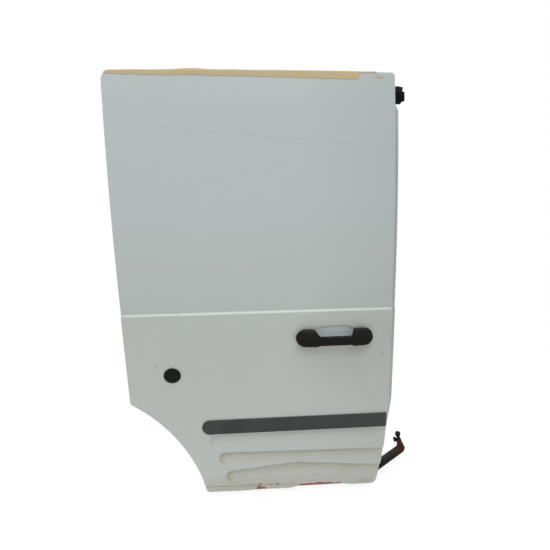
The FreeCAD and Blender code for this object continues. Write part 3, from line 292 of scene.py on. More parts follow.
chip_lift += 0.9 * np.sin(face_x / 23.0) * ease(-120, -420, face_x)
face_z += chip_lift * ease(34, 2, face_z) - crowned(face_x, face_z)
skin = hold("outer_skin_sheet", skin_points, skin_cells)

# Wear on the skin, kept as values on its points: dust with painted shade under the flute rims and at their
# rounded tips, dirt along the bottom with a painted shadow line at the opened seam, rust on the opened
# seam and in two spots, red primer where the paint has chipped, and the cup is marked for painted light.
FLUTE_DUST_AND_SHADE = (0.5, 0.74, 0.8)
from_seam = face_z - bottom_seam(face_x)
grime_and_shade = 0.06 * ease(238, 200, face_z)
grime_and_shade += 0.5 * ease(96, 40, face_z) * (0.55 + 0.45 * ease(-640, -500, face_x))
# In the flutes, dust is mixed with painted shade: darker under each rim and in a crescent round each tip.
for flute, tip in enumerate(FLUTE_TIPS):
    inside, share = flute_reach(flute, face_x, face_z)
    fall = np.sqrt(np.clip(1 - inside / FLUTE_HIGH, 0, 1))
    shelf_dust_and_shade = FLUTE_DUST_AND_SHADE[flute] * (0.25 + 0.75 * fall) * (inside > 0) * ease(-0.5, 2.5, inside)
    tip_dirt_and_shade = 1 + 0.3 * ease(tip + 34, tip + 8, face_x) * ease(22, 2, inside)
    grime_and_shade = np.maximum(grime_and_shade, shelf_dust_and_shade * ease(0, 0.12, share) * tip_dirt_and_shade)
    if flute == 2:
        knocked = ease(-345, -322, face_x) * ease(-228, -246, face_x)
        grime_and_shade += 0.4 * hump(1, 2.4, inside) * knocked * (share > 0)
# A dark line along the opened seam: dirt, with a painted shadow of the crumpled fold.
grime_and_shade += 0.85 * hump(0, 1.7, from_seam) * ease(-260, -330, face_x)
grime_and_shade += 0.16 * ease(26, 10, face_z) * ease(-200, -420, face_x)
for amount, stain_x, stain_z, wide, high in ((0.55, -239, 488, 7, 9), (0.55, -117, 486, 9, 8),
                                             (0.18, -175, 489, 60, 5), (0.3, -44, 1240, 3, 13),
                                             (0.22, -58, 1234, 2.6, 9), (0.4, -58, 13, 24, 8)):
    grime_and_shade += amount * hump(stain_x, wide, face_x) * hump(stain_z, high, face_z)
rust = 0.66 * hump(0, 1.7, from_seam) * ease(-270, -330, face_x) * ease(-604, -575, face_x)
for spot_x, spot_z, size in ((-405, 23, 5.5), (-347, 18, 5.5)):
    rust = np.maximum(rust, np.exp(-((face_x - spot_x) ** 2 + (face_z - spot_z) ** 2) / size ** 2))
wedge = np.clip((face_x + 418) / 42, 0, 1)
rear_chip = ease(-421, -413, face_x) * ease(-372, -392, face_x)
rear_chip = rear_chip * ease(21 - 13 * wedge, 14 - 10 * wedge, face_z)
chip_rag = 1.6 * np.sin(face_x / 15.0 + 2) + 1.2 * np.sin(face_x / 5.7 + 1) + 3.5 * hump(-228, 40, face_x)
front_chip = ease(-292, -264, face_x) * ease(-116, -150, face_x) * ease(15.5, 8.5, face_z - chip_rag)
primer = np.maximum(rear_chip, front_chip)
# The finger cup is marked for painted light: its paint is made lighter to lift the shade in it.
cup_painted_light = ease(1, 8, cup_reach(face_x, face_z))
for layer_name, values in (("grime_and_shade", grime_and_shade), ("rust", rust), ("primer", primer), ("cup_painted_light", cup_painted_light)):
    layer = skin.data.attributes.new(layer_name, "FLOAT", "POINT")
    layer.data.foreach_set("value", np.clip(values, 0, 1.5).astype(np.float32))
skin_shell = skin.modifiers.new("sheet", "SOLIDIFY")
skin_shell.thickness = SHEET_THICK / 1000
skin_shell.offset = -1
settle(skin, 42)


# Body paint: pale grey two-coat paint, baked and clear-coated, so it looks smooth and glossy. Settled dust
# dulls it, with painted shade mixed in under the flute rims and along the opened seam. Painted shade
# darkens it towards the front, a bluish painted sky reflection tints the upper panel, and the finger cup is
# painted lighter to lift its shade, with a bluish painted reflection low in it. It has small nicks, and one
# long rubbed line across the upper panel.
def linear(code):
    """An sRGB hex colour as linear values for a shader."""
    parts = [int(code[index:index + 2], 16) / 255 for index in (1, 3, 5)]
    return tuple(c / 12.92 if c <= 0.04045 else ((c + 0.055) / 1.055) ** 2.4 for c in parts) + (1.0,)


def wire(tree, node, inputs):
    """Sets a node's inputs by name or number: a socket is linked, and a hex colour is made linear."""
    for key, value in dict(inputs).items():
        if isinstance(value, bpy.types.NodeSocket):
            tree.links.new(value, node.inputs[key])
        elif isinstance(value, str) and value.startswith("#"):
            node.inputs[key].default_value = linear(value)
        else:
            node.inputs[key].default_value = value


def add(tree, kind, inputs=(), output=0, **settings):
    """Adds a node with its settings and inputs, and gives back one of its outputs."""
    node = tree.nodes.new(kind)
    for key, value in settings.items():
        setattr(node, key, value)
    wire(tree, node, inputs)
    return node.outputs[output]


def finish_of(name):
    """A new material with its tree, its surface shader and the place on the piece."""
    material = bpy.data.materials.new(name)
    material.use_nodes = True
    tree = material.node_tree
    return material, tree, tree.nodes["Principled BSDF"], add(tree, "ShaderNodeTexCoord", output="Object")


def per_metre(millimetres):
    """The scale of a pattern whose marks are this many millimetres apart."""
    return 1000 / millimetres


def on_face(x, z):
    """A place on the door's face in metres, with its depth left out."""
    return in_metres((x, 0, z)) * (1, 0, 1)


# Map Range takes a value at 0, its range at 1 and 2 and the new range at 3 and 4. Mix takes a share at 0 and
# its two colours at 6 and 7.
paint, tree, shader, place = finish_of("baked_body_paint")
cloud = add(tree, "ShaderNodeTexNoise",
            {"Vector": place, "Scale": per_metre(312.5), "Detail": 5.0, "Roughness": 0.6})
patchy = add(tree, "ShaderNodeTexNoise",
             {"Vector": place, "Scale": per_metre(38.5), "Detail": 6.0, "Roughness": 0.62})
fine = add(tree, "ShaderNodeTexNoise",
           {"Vector": place, "Scale": per_metre(10.53), "Detail": 6.0, "Roughness": 0.72})
forward = add(tree, "ShaderNodeSeparateXYZ", {0: place}, "X")
upward = add(tree, "ShaderNodeSeparateXYZ", {0: place}, "Z")
clouded = add(tree, "ShaderNodeMapRange", {0: cloud, 1: 0.3, 2: 0.7})
coat = add(tree, "ShaderNodeMix", {0: clouded, 6: "#A8ADA9", 7: "#AEB3AF"}, 2, data_type="RGBA")
# Painted reflection: a cooler, bluish tone towards the top stands in for the sky reflected in the upper
# panel.
upper_sky_reflection = add(tree, "ShaderNodeMapRange", {0: upward, 1: 0.0, 2: 0.4, 4: 0.85})
coat = add(tree, "ShaderNodeMix", {0: upper_sky_reflection, 6: coat, 7: "#B3BEBD"}, 2, data_type="RGBA")
# Painted light in the finger cup: lighter paint above, and a bluish painted sky reflection in its lower part.
cup_reflection_fade = add(tree, "ShaderNodeMapRange", {0: upward, 1: 0.012, 2: 0.028})
cup_light_and_reflection = add(tree, "ShaderNodeMix", {0: cup_reflection_fade, 6: "#B9C3C8", 7: "#DCE1DB"}, 2, data_type="RGBA")
in_cup_painted_light = add(tree, "ShaderNodeAttribute", output="Fac", attribute_name="cup_painted_light")
coat = add(tree, "ShaderNodeMix", {0: in_cup_painted_light, 6: coat, 7: cup_light_and_reflection}, 2, data_type="RGBA")
# Painted shade: the paint is darkened towards the front end of the door.
front_painted_shade = add(tree, "ShaderNodeMapRange", {0: forward, 1: 0.47, 2: 0.73, 4: 0.1})
coat = add(tree, "ShaderNodeMix", {0: front_painted_shade, 6: coat, 7: "#1E1D19"}, 2, data_type="RGBA")
masks = {}
for layer_name, fray in (("grime_and_shade", 0.22), ("rust", 0.24), ("primer", 0.5)):
    level = add(tree, "ShaderNodeAttribute", output="Fac", attribute_name=layer_name)
    wobble = add(tree, "ShaderNodeMapRange", {0: fine, 1: 0.25, 2: 0.75, 3: -fray, 4: fray})
    frayed = add(tree, "ShaderNodeMath", {0: level, 1: wobble}, operation="ADD")
    masks[layer_name] = add(tree, "ShaderNodeMath", {0: frayed, 1: level}, operation="MULTIPLY")
rubbed = add(tree, "ShaderNodeMapRange", {0: patchy, 1: 0.36, 2: 0.64, 3: 0.5, 4: 1.08})
# Dust and painted shade share one mask, which darkens and yellows the paint.
dirt_and_shade = add(tree, "ShaderNodeMapRange", {0: masks["grime_and_shade"], 1: 0.0, 2: 1.1})
dust = add(tree, "ShaderNodeMath", {0: dirt_and_shade, 1: rubbed}, operation="MULTIPLY")
coat = add(tree, "ShaderNodeMix", {0: dust, 6: coat, 7: "#958A6A"}, 2, data_type="RGBA")
flat_place = add(tree, "ShaderNodeVectorMath", {0: place, 1: (1, 0, 1)}, operation="MULTIPLY")
NICK_RAG = 0.004
NICK_CORE = 0.0021
nicks = 0.0
for nick_x, nick_z, size in ((-24, 462, 4.5), (-141, 463, 3.2), (-303, 270, 3), (-296, 271, 2.2),
                             (-287, 270, 2.6), (-706, 446, 5), (-712, 268, 3.4), (-577, 291, 3.0),
                             (-633, CREASE, 3.2), (-784, CREASE, 4.0), (-736, 1240, 3.0)):
    away = add(tree, "ShaderNodeVectorMath", {0: flat_place, 1: on_face(nick_x, nick_z)}, "Value",
               operation="DISTANCE")
    ragged = add(tree, "ShaderNodeMath", {0: fine, 1: NICK_RAG, 2: away}, operation="MULTIPLY_ADD")
    core = NICK_CORE + 0.4 * size / 1000
    near = add(tree, "ShaderNodeMapRange", {0: ragged, 1: core, 2: core + 0.4 * size / 1000, 3: 0.6, 4: 0.0})
    nicks = add(tree, "ShaderNodeMath", {0: near, 1: nicks}, operation="MAXIMUM")
coat = add(tree, "ShaderNodeMix", {0: nicks, 6: coat, 7: "#6F6B62"}, 2, data_type="RGBA")
line_begin = on_face(-698, 1130)
line_end = on_face(-16, 1067)
line_run = line_end - line_begin
line_side = np.array([-line_run[2], 0, line_run[0]]) / np.linalg.norm(line_run)
beside = add(tree, "ShaderNodeVectorMath", {0: flat_place, 1: line_side}, "Value", operation="DOT_PRODUCT")
bowed = add(tree, "ShaderNodeMath", {0: cloud, 1: 0.012, 2: beside}, operation="MULTIPLY_ADD")
line_level = float(line_begin @ line_side) + 0.006
off_line = add(tree, "ShaderNodeMath", {0: bowed, 1: line_level}, operation="SUBTRACT")
off_line = add(tree, "ShaderNodeMath", {0: off_line}, operation="ABSOLUTE")
scuff = add(tree, "ShaderNodeMapRange", {0: off_line, 1: 0.0005, 2: 0.0015, 3: 0.24, 4: 0.0})
line_start = float(line_begin[0])
begun = add(tree, "ShaderNodeMapRange", {0: forward, 1: line_start - 0.01, 2: line_start + 0.03})
scuff = add(tree, "ShaderNodeMath", {0: scuff, 1: begun}, operation="MULTIPLY")
coat = add(tree, "ShaderNodeMix", {0: scuff, 6: coat, 7: "#7F827E"}, 2, data_type="RGBA")
bared = add(tree, "ShaderNodeMapRange", {0: masks["primer"], 1: 0.30, 2: 0.42})
coat = add(tree, "ShaderNodeMix", {0: bared, 6: coat, 7: "#82321A"}, 2, data_type="RGBA")
rusted = add(tree, "ShaderNodeMapRange", {0: masks["rust"], 1: 0.22, 2: 0.45})
coat = add(tree, "ShaderNodeMix", {0: rusted, 6: coat, 7: "#4A3A2C"}, 2, data_type="RGBA")
dulled = add(tree, "ShaderNodeMapRange", {0: masks["grime_and_shade"], 1: 0.0, 2: 0.8, 3: 0.24, 4: 0.62})
peel = add(tree, "ShaderNodeBump", {"Strength": 0.06, "Distance": 0.0006, "Height": fine})
wire(tree, shader, {"Base Color": coat, "Roughness": dulled, "Coat Weight": 0.45, "Coat Roughness": 0.12,
                    "Normal": peel})
skin.data.materials.append(paint)
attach(skin, "door")
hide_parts("outer_skin")

# Masking tape: crepe paper left from respraying, pressed over the top edge and folded to the back. Its lower
# edge is torn, it has lifted off the fold in one place, and a scrap of it is left beyond its torn end. It
# looks dry and matt, with fine wrinkles across its length.
TAPE_OFF = 0.45
TAPE_THICK = 0.3
TAPE_BACK = 7.0
REAR_CORNER = 22.0
tape_low = ((-803, 1270), (-733, 1268), (-632, 1265), (-567, 1266.5), (-519, 1264), (-437, 1263),
            (-351, 1262), (-271, 1260), (-186, 1259), (-130, 1258), (-106, 1258.5), (-103, 1269),
            (-101, 1276.4), (-52, 1276.9))
tape_x = np.arange(-803, -51.9, 3.0)
torn = 0.5 * np.sin(tape_x / 4.1) + 0.6 * np.sin(tape_x / 9.7 + 1) + 0.35 * np.sin(tape_x / 2.3 + 2)
tape_base = np.interp(tape_x, *zip(*tape_low)) + torn
fold_high = DOOR_HIGH - FOLD - arc_fall(REAR_CORNER, np.clip(-790 - tape_x, 0, 20))
tape_lift = 3.4 * hump(-572, 40, tape_x) + 0.9 * hump(-470, 26, tape_x) + 0.5 * np.abs(np.sin(tape_x / 31.0))
tape_blocks = []
for rise in np.linspace(0, 1, 6):
    z = tape_base + (fold_high - tape_base) * rise
    tape_blocks.append(np.c_[tape_x, skin_depth(tape_x, z) - TAPE_OFF - 0.25 * tape_lift * rise, z])
fold_depth = skin_depth(tape_x, fold_high)
for turn in hem_turns:
    reach = FOLD + 0.5 + tape_lift * math.sin(turn)
    tape_blocks.append(np.c_[tape_x, fold_depth + FOLD - (FOLD + 0.5) * math.cos(turn),
                             fold_high + reach * math.sin(turn)])
tape_blocks.append(np.c_[tape_x, fold_depth + 2 * FOLD + 0.5, fold_high - TAPE_BACK + 2 * torn])
scrap = [(x, skin_depth(np.array(x), np.array(z)) - TAPE_OFF, z) for x, z in
         ((-57, 1264), (-44, 1262.5), (-34, 1264), (-34, 1267), (-45, 1268.5), (-56, 1267))]
run = len(tape_x)
tape_cells = [(row * run + step, row * run + step + 1, (row + 1) * run + step + 1, (row + 1) * run + step)
              for row in range(len(tape_blocks) - 1) for step in range(run - 1)]
tape_points = np.concatenate(tape_blocks + [np.array(scrap, float)])
tape_cells.append(tuple(range(len(tape_points) - len(scrap), len(tape_points))))
tape_points[:, 2] -= crowned(tape_points[:, 0], tape_points[:, 2])
tape = hold("masking_tape_strip", tape_points, tape_cells)
tape_paper = tape.modifiers.new("paper", "SOLIDIFY")
tape_paper.thickness = TAPE_THICK / 1000
tape_paper.offset = 1
settle(tape, 50)
crepe, tree, shader, place = finish_of("crepe_paper_tape")
along_tape = (per_metre(2.38), per_metre(16.67), per_metre(16.67))
crepe_place = add(tree, "ShaderNodeVectorMath", {0: place, 1: along_tape}, operation="MULTIPLY")
wrinkle = add(tree, "ShaderNodeTexNoise", {"Vector": crepe_place, "Scale": 1.0, "Detail": 4.0})
cloud = add(tree, "ShaderNodeTexNoise",
            {"Vector": place, "Scale": per_metre(62.5), "Detail": 6.0, "Roughness": 0.65})
dried = add(tree, "ShaderNodeMapRange", {0: cloud, 1: 0.32, 2: 0.68})
paper = add(tree, "ShaderNodeMix", {0: dried, 6: "#C4B085", 7: "#C1B597"}, 2, data_type="RGBA")
creased = add(tree, "ShaderNodeMapRange", {0: wrinkle, 1: 0.3, 2: 0.75, 4: 0.35})
paper = add(tree, "ShaderNodeMix", {0: creased, 6: paper, 7: "#A08E66"}, 2, data_type="RGBA")
crinkle = add(tree, "ShaderNodeBump", {"Strength": 0.5, "Distance": 0.0006, "Height": wrinkle})
wire(tree, shader, {"Base Color": paper, "Roughness": 0.75, "Specular IOR Level": 0.25, "Normal": crinkle})
tape.data.materials.append(crepe)
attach(tape, "door")


# Inner panel: a deep pressed tray with cut-outs, held to the skin by the hem. It and the skin's inner face
# carry a thin coat of the body colour, which looks duller than the outside and is painted a little darker as
# painted shade, with dust near the bottom.
def worked(node, name, round_edge, material, angle=38):
    """A copy of a solid with its facets merged, its edges rounded and its curves smooth."""
    mesh = frame["nodes"][node].data.copy()
    mesh.materials.clear()
    shape = bmesh.new()
    shape.from_mesh(mesh)
    bmesh.ops.remove_doubles(shape, verts=shape.verts, dist=2e-6)
    bmesh.ops.dissolve_limit(shape, angle_limit=math.radians(0.2), verts=shape.verts, edges=shape.edges)
    shape.to_mesh(mesh)
    shape.free()
    made = bpy.data.objects.new(name, mesh)
    bpy.context.scene.collection.objects.link(made)
    edge = made.modifiers.new("edges", "BEVEL")
    edge.width = round_edge / 1000
    edge.segments = 2
    edge.limit_method = "ANGLE"
    edge.angle_limit = math.radians(angle)
    edge.use_clamp_overlap = True
    settle(made, angle)
    made.data.materials.clear()
    made.data.materials.append(material)
    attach(made, frame["nodes"][node]["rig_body"])
    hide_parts(node)
    return made


panel_paint, tree, shader, place = finish_of("inner_body_paint")
cloud = add(tree, "ShaderNodeTexNoise",
            {"Vector": place, "Scale": per_metre(166.7), "Detail": 6.0, "Roughness": 0.62})
grit = add(tree, "ShaderNodeTexNoise", {"Vector": place, "Scale": per_metre(7.14), "Detail": 4.0})
clouded = add(tree, "ShaderNodeMapRange", {0: cloud, 1: 0.35, 2: 0.7})
# Painted shade: both tones are darker than the outside body paint.
coat = add(tree, "ShaderNodeMix", {0: clouded, 6: "#9CA6A5", 7: "#A7B0AE"}, 2, data_type="RGBA")
upward = add(tree, "ShaderNodeSeparateXYZ", {0: place}, "Z")
low_down = add(tree, "ShaderNodeMapRange", {0: upward, 1: -0.30, 2: -0.52, 4: 0.55})
dust = add(tree, "ShaderNodeMath", {0: low_down, 1: grit}, operation="MULTIPLY")
coat = add(tree, "ShaderNodeMix", {0: dust, 6: coat, 7: "#8F8670"}, 2, data_type="RGBA")
dulled = add(tree, "ShaderNodeMapRange", {0: cloud, 1: 0.3, 2: 0.7, 3: 0.38, 4: 0.52})
wire(tree, shader, {"Base Color": coat, "Roughness": dulled})
skin.data.materials.append(panel_paint)
skin_normals = np.empty(len(skin.data.polygons) * 3)
skin.data.polygons.foreach_get("normal", skin_normals)
faces_inward = skin_normals[1::3] > 0.3
skin.data.polygons.foreach_set("material_index", faces_inward.astype(np.int32))
tray = worked("inner_panel", "inner_panel_tray", 0.6, panel_paint)
tray_points = np.empty(len(tray.data.vertices) * 3)
tray.data.vertices.foreach_get("co", tray_points)
tray_points = tray_points.reshape(-1, 3)
tray_own = tray_points * 1000 - SKIN_CORNER
tray_upper = tray_own[:, 2] > 600
tray_points[:, 2] -= crowned(tray_own[:, 0], tray_own[:, 2]) * tray_upper / 1000
tray.data.vertices.foreach_set("co", tray_points.ravel())

# Stiffeners behind the skin: a folded waist beam, a rolled impact bar, a brace and the hinge plate, welded or
# bonded in. The steel is left in grey dip primer, which looks flat and slightly cloudy.
primed, tree, shader, place = finish_of("dip_primed_steel")
cloud = add(tree, "ShaderNodeTexNoise",
            {"Vector": place, "Scale": per_metre(55.6), "Detail": 6.0, "Roughness": 0.6})
coat = add(tree, "ShaderNodeMix", {0: cloud, 6: "#7C8482", 7: "#9AA19E"}, 2, data_type="RGBA")
wire(tree, shader, {"Base Color": coat, "Roughness": 0.55})
for node in ("waist_beam", "impact_bar", "skin_brace", "centre_hinge_plate"):
    worked(node, node + "_steel", 0.8, primed)

# Rub strip: a moulded polypropylene strip bonded to the belly, with a low crown. It looks dark grey and matt,
# weathered in places, with a leather grain that is drawn coarser than the real one so that it shows.
strip_plastic, tree, shader, place = finish_of("grained_polypropylene")
cloud = add(tree, "ShaderNodeTexNoise",
            {"Vector": place, "Scale": per_metre(71.4), "Detail": 6.0, "Roughness": 0.65})
grain = add(tree, "ShaderNodeTexVoronoi", {"Vector": place, "Scale": per_metre(1.54)})
weathered = add(tree, "ShaderNodeMapRange", {0: cloud, 1: 0.3, 2: 0.7})
grey = add(tree, "ShaderNodeMix", {0: weathered, 6: "#2D302F", 7: "#383B39"}, 2, data_type="RGBA")
dimple = add(tree, "ShaderNodeBump", {"Strength": 0.25, "Distance": 0.0003, "Height": grain})
wire(tree, shader, {"Base Color": grey, "Roughness": 0.62, "Specular IOR Level": 0.3, "Normal": dimple})
worked("rub_strip", "rub_strip_moulding", 1.4, strip_plastic)

# Pull handle: a strap moulded in black glass-filled nylon, broad at both ends and waisted over the cup. It
# swings on a pin through its front leg, and its rear leg pulls the latch. Hands have polished it, so that it
# looks smoother than the other plastic. Its fine grain is drawn coarser than the real one.
HANDLE_MIDDLE = -176.0
HANDLE_LEVEL = 524.5
HANDLE_HALF = 89.5
HANDLE_END = 25.5
RING_SIDES = 40
LEG_HALF = (5.0, 8.0)
PIVOT_AT = (-72.0, 16.0)
PIVOT_BORE = 3.1
EYE_SIDES = 28
end_turns = np.linspace(0.12, math.pi / 2, 12)
rear_x = HANDLE_MIDDLE - HANDLE_HALF - HANDLE_END * np.cos(end_turns)
handle_x = np.concatenate([rear_x, np.arange(-262, -89, 2.0), (2 * HANDLE_MIDDLE - rear_x)[::-1]])
from_middle = np.abs(handle_x - HANDLE_MIDDLE)
bulge = np.sqrt(np.clip(1 - ((from_middle - HANDLE_HALF).clip(0) / HANDLE_END) ** 2, 0.004, 1))
waist = ease(-238, -219, handle_x) * ease(-116.5, -123.5, handle_x)
belly_rise = 5.0 * ease(-236, -218, handle_x) * ease(-119, -128, handle_x)
handle_top = HANDLE_LEVEL + HANDLE_END * bulge - 18.5 * waist - 2.0 * ease(-238, -280, handle_x)
handle_low = HANDLE_LEVEL - HANDLE_END * bulge + belly_rise
handle_out = -9.5 - 17.5 * (1 - (from_middle / 115.2) ** 2.6) ** 0.55
handle_in = 0.7 - 16.7 * ease(-239, -225, handle_x) * ease(-119, -131, handle_x)
ring_turns = np.linspace(0, 2 * math.pi, RING_SIDES, endpoint=False)
ring_in = np.cos(ring_turns)
ring_up = np.sin(ring_turns)
handle_blocks = []
for x, top, low, out, into, thin in zip(handle_x, handle_top, handle_low, handle_out, handle_in, waist):
    soft_front = np.where(ring_up > 0, 0.62 + 1.05 * (1 - thin), 0.5)
    power = np.where(ring_in < 0, soft_front, 0.22)
    y = (out + into) / 2 + (into - out) / 2 * np.sign(ring_in) * np.abs(ring_in) ** power
    z = (top + low) / 2 + (top - low) / 2 * np.sign(ring_up) * np.abs(ring_up) ** power
    handle_blocks.append(np.c_[np.full_like(y, x), y, z])
handle_cells = []
for ring in range(len(handle_x) - 1):
    this_ring = ring * RING_SIDES
    next_ring = this_ring + RING_SIDES
    for step in range(RING_SIDES):
        after = (step + 1) % RING_SIDES
        handle_cells.append((this_ring + step, this_ring + after, next_ring + after, next_ring + step))
last_ring = RING_SIDES * (len(handle_x) - 1)
handle_cells += [tuple(range(RING_SIDES))[::-1], tuple(range(last_ring, last_ring + RING_SIDES))]
box_faces = ((3, 2, 1, 0), (4, 5, 6, 7), (0, 1, 5, 4), (1, 2, 6, 5), (2, 3, 7, 6), (3, 0, 4, 7))
for leg_x, leg_end in ((PIVOT_AT[0], 12.6), (-267, 54)):
    first = sum(len(block) for block in handle_blocks)
    corners = [(leg_x + side * LEG_HALF[0], y, HANDLE_LEVEL + up * LEG_HALF[1]) for y in (-2, leg_end)
               for side, up in ((-1, -1), (1, -1), (1, 1), (-1, 1))]
    handle_blocks.append(np.array(corners))
    handle_cells += [tuple(first + index for index in face) for face in box_faces]
first = sum(len(block) for block in handle_blocks)
eye_rings = ((LEG_HALF[0], -1), (LEG_HALF[0], 1), (PIVOT_BORE, 1), (PIVOT_BORE, -1))
eye_turns = np.linspace(0, 2 * math.pi, EYE_SIDES, endpoint=False)
eye = [(PIVOT_AT[0] + radius * math.cos(turn), PIVOT_AT[1] + radius * math.sin(turn),
        HANDLE_LEVEL + up * LEG_HALF[1]) for radius, up in eye_rings for turn in eye_turns]
handle_blocks.append(np.array(eye))
for ring in range(len(eye_rings)):
    this_ring = first + ring * EYE_SIDES
    next_ring = first + (ring + 1) % len(eye_rings) * EYE_SIDES
    for step in range(EYE_SIDES):
        after = (step + 1) % EYE_SIDES
        handle_cells.append((this_ring + step, this_ring + after, next_ring + after, next_ring + step))
handle = hold("handle_grip_moulding", np.concatenate(handle_blocks), handle_cells)
settle(handle, 40)
handle_plastic, tree, shader, place = finish_of("moulded_black_nylon")
cloud = add(tree, "ShaderNodeTexNoise",
            {"Vector": place, "Scale": per_metre(26.3), "Detail": 6.0, "Roughness": 0.6})
grain = add(tree, "ShaderNodeTexVoronoi", {"Vector": place, "Scale": per_metre(1.11)})
black = add(tree, "ShaderNodeMix", {0: cloud, 6: "#100E0D", 7: "#171413"}, 2, data_type="RGBA")
polish = add(tree, "ShaderNodeMapRange", {0: cloud, 1: 0.3, 2: 0.7, 3: 0.26, 4: 0.4})
dimple = add(tree, "ShaderNodeBump", {"Strength": 0.15, "Distance": 0.0002, "Height": grain})
wire(tree, shader, {"Base Color": black, "Roughness": polish, "Specular IOR Level": 0.1, "Normal": dimple})
handle.data.materials.append(handle_plastic)
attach(handle, "handle")
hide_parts("handle_grip")


# Blanking plug and gaskets: moulded rubber, black and nearly without shine. The plug is dished, with a rolled
# rim, and snaps into the hole left by a lock that this door doesn't have. It is slightly oval. The gaskets
# seal the handle's ends.
def turned(name, profile, foot, axis, sides=56):
    """A round piece from (radius, height) pairs, turned about an axis through a foot in door millimetres."""
    profile = np.array(profile, float)
    rings = len(profile)
    angles = np.linspace(0, 2 * math.pi, sides, endpoint=False)
    up, right, over = {"y": np.eye(3)[[1, 0, 2]], "z": np.eye(3)[[2, 0, 1]]}[axis]
    points = [np.array(foot) + radius * (math.cos(angle) * right + math.sin(angle) * over) + height * up
              for radius, height in profile for angle in angles]
    faces = [(row * sides + step, row * sides + (step + 1) % sides,
              (row + 1) * sides + (step + 1) % sides, (row + 1) * sides + step)
             for row in range(rings - 1) for step in range(sides)]
    if np.allclose(profile[0], profile[-1]):
        points = points[:-sides]
        faces = [tuple(index % ((rings - 1) * sides) for index in face) for face in faces]
    else:
        faces += [tuple(range(sides)), tuple(range((rings - 1) * sides, rings * sides))]
    made = hold(name, points, faces)
    shape = bmesh.new()
    shape.from_mesh(made.data)
    bmesh.ops.remove_doubles(shape, verts=shape.verts, dist=1e-6)
    bmesh.ops.recalc_face_normals(shape, faces=shape.faces)
    shape.to_mesh(made.data)
    shape.free()
    return settle(made, 40)


PLUG_OVAL = 0.92
rubber, tree, shader, place = finish_of("moulded_rubber")
cloud = add(tree, "ShaderNodeTexNoise", {"Vector": place, "Scale": per_metre(16.7), "Detail": 5.0})
black = add(tree, "ShaderNodeMix", {0: cloud, 6: "#0B0A0A", 7: "#141211"}, 2, data_type="RGBA")
wire(tree, shader, {"Base Color": black, "Roughness": 0.7, "Specular IOR Level": 0.14})
plug_foot = (PLUG_AT[0], 0, PLUG_AT[1])
plug = turned("blanking_plug_cap", [
    (0.4, -1.1), (10, -1.15), (15, -1.3), (17.6, -1.6), (19.2, -2.0), (20.8, -2.15), (22.6, -2.1),
    (24.2, -1.6), (25, -0.7), (25, 0.6), (24.6, 0.95), (20.2, 0.95), (19.6, 2), (19.4, 5), (20.4, 6),
    (19, 9.3), (0.4, 9.3)], plug_foot, "y")
plug_level = in_metres(plug_foot)[2]
for vertex in plug.data.vertices:
    vertex.co.z = plug_level + PLUG_OVAL * (vertex.co.z - plug_level)
plug.data.materials.append(rubber)
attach(plug, "door")
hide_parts("blanking_plug")
for node in ("handle_front_gasket", "handle_rear_gasket"):
    worked(node, node + "_pad", 0.4, rubber)

# Lock parts: the handle's carrier and pin, the lock control, the rod and the latch with its claw. They are of
# pressed or drawn steel, zinc plated and passivated, so that they look like dull, slightly yellow metal.
plated, tree, shader, place = finish_of("zinc_plated_steel")
cloud = add(tree, "ShaderNodeTexNoise",
            {"Vector": place, "Scale": per_metre(22.2), "Detail": 6.0, "Roughness": 0.6})
zinc = add(tree, "ShaderNodeMix", {0: cloud, 6: "#A29A84", 7: "#B9B5A8"}, 2, data_type="RGBA")
bloom = add(tree, "ShaderNodeMapRange", {0: cloud, 1: 0.3, 2: 0.7, 3: 0.34, 4: 0.5})
wire(tree, shader, {"Base Color": zinc, "Metallic": 1.0, "Roughness": bloom})
for node in ("handle_carrier", "lock_control", "rear_latch_case", "latch_claw", "latch_rod",
             "handle_pivot_pin"):
    worked(node, node + "_plated", 0.6, plated)

# Roller arms: thick pressed steel, bolted to the inner panel, with pins riveted in for the rollers. The black
# dip paint takes hardly any light, and it is worn to rough brown rust at the neck of the lower arm.
black_steel, tree, shader, place = finish_of("black_dip_painted_steel")
cloud = add(tree, "ShaderNodeTexNoise",
            {"Vector": place, "Scale": per_metre(18.2), "Detail": 7.0, "Roughness": 0.65})
forward = add(tree, "ShaderNodeSeparateXYZ", {0: place}, "X")
worn = add(tree, "ShaderNodeMapRange", {0: forward, 1: 0.80, 2: 0.865, 3: -0.05, 4: 0.16})
uneven = add(tree, "ShaderNodeMath", {0: cloud, 1: worn}, operation="ADD")
patch = add(tree, "ShaderNodeMapRange", {0: uneven, 1: 0.5, 2: 0.66})
steel = add(tree, "ShaderNodeMix", {0: patch, 6: "#050404", 7: "#2C1506"}, 2, data_type="RGBA")
rough = add(tree, "ShaderNodeMapRange", {0: patch, 1: 0.0, 2: 1.0, 3: 0.42, 4: 0.82})
flakes = add(tree, "ShaderNodeBump", {"Strength": 0.4, "Distance": 0.0005, "Height": patch})
wire(tree, shader, {"Base Color": steel, "Roughness": rough, "Specular IOR Level": 0.08, "Normal": flakes})
for node in ("upper_roller_bracket", "lower_arm", "upper_roller_pin", "lower_guide_pin", "lower_support_pin"):
    worked(node, node + "_steel", 0.9, black_steel)

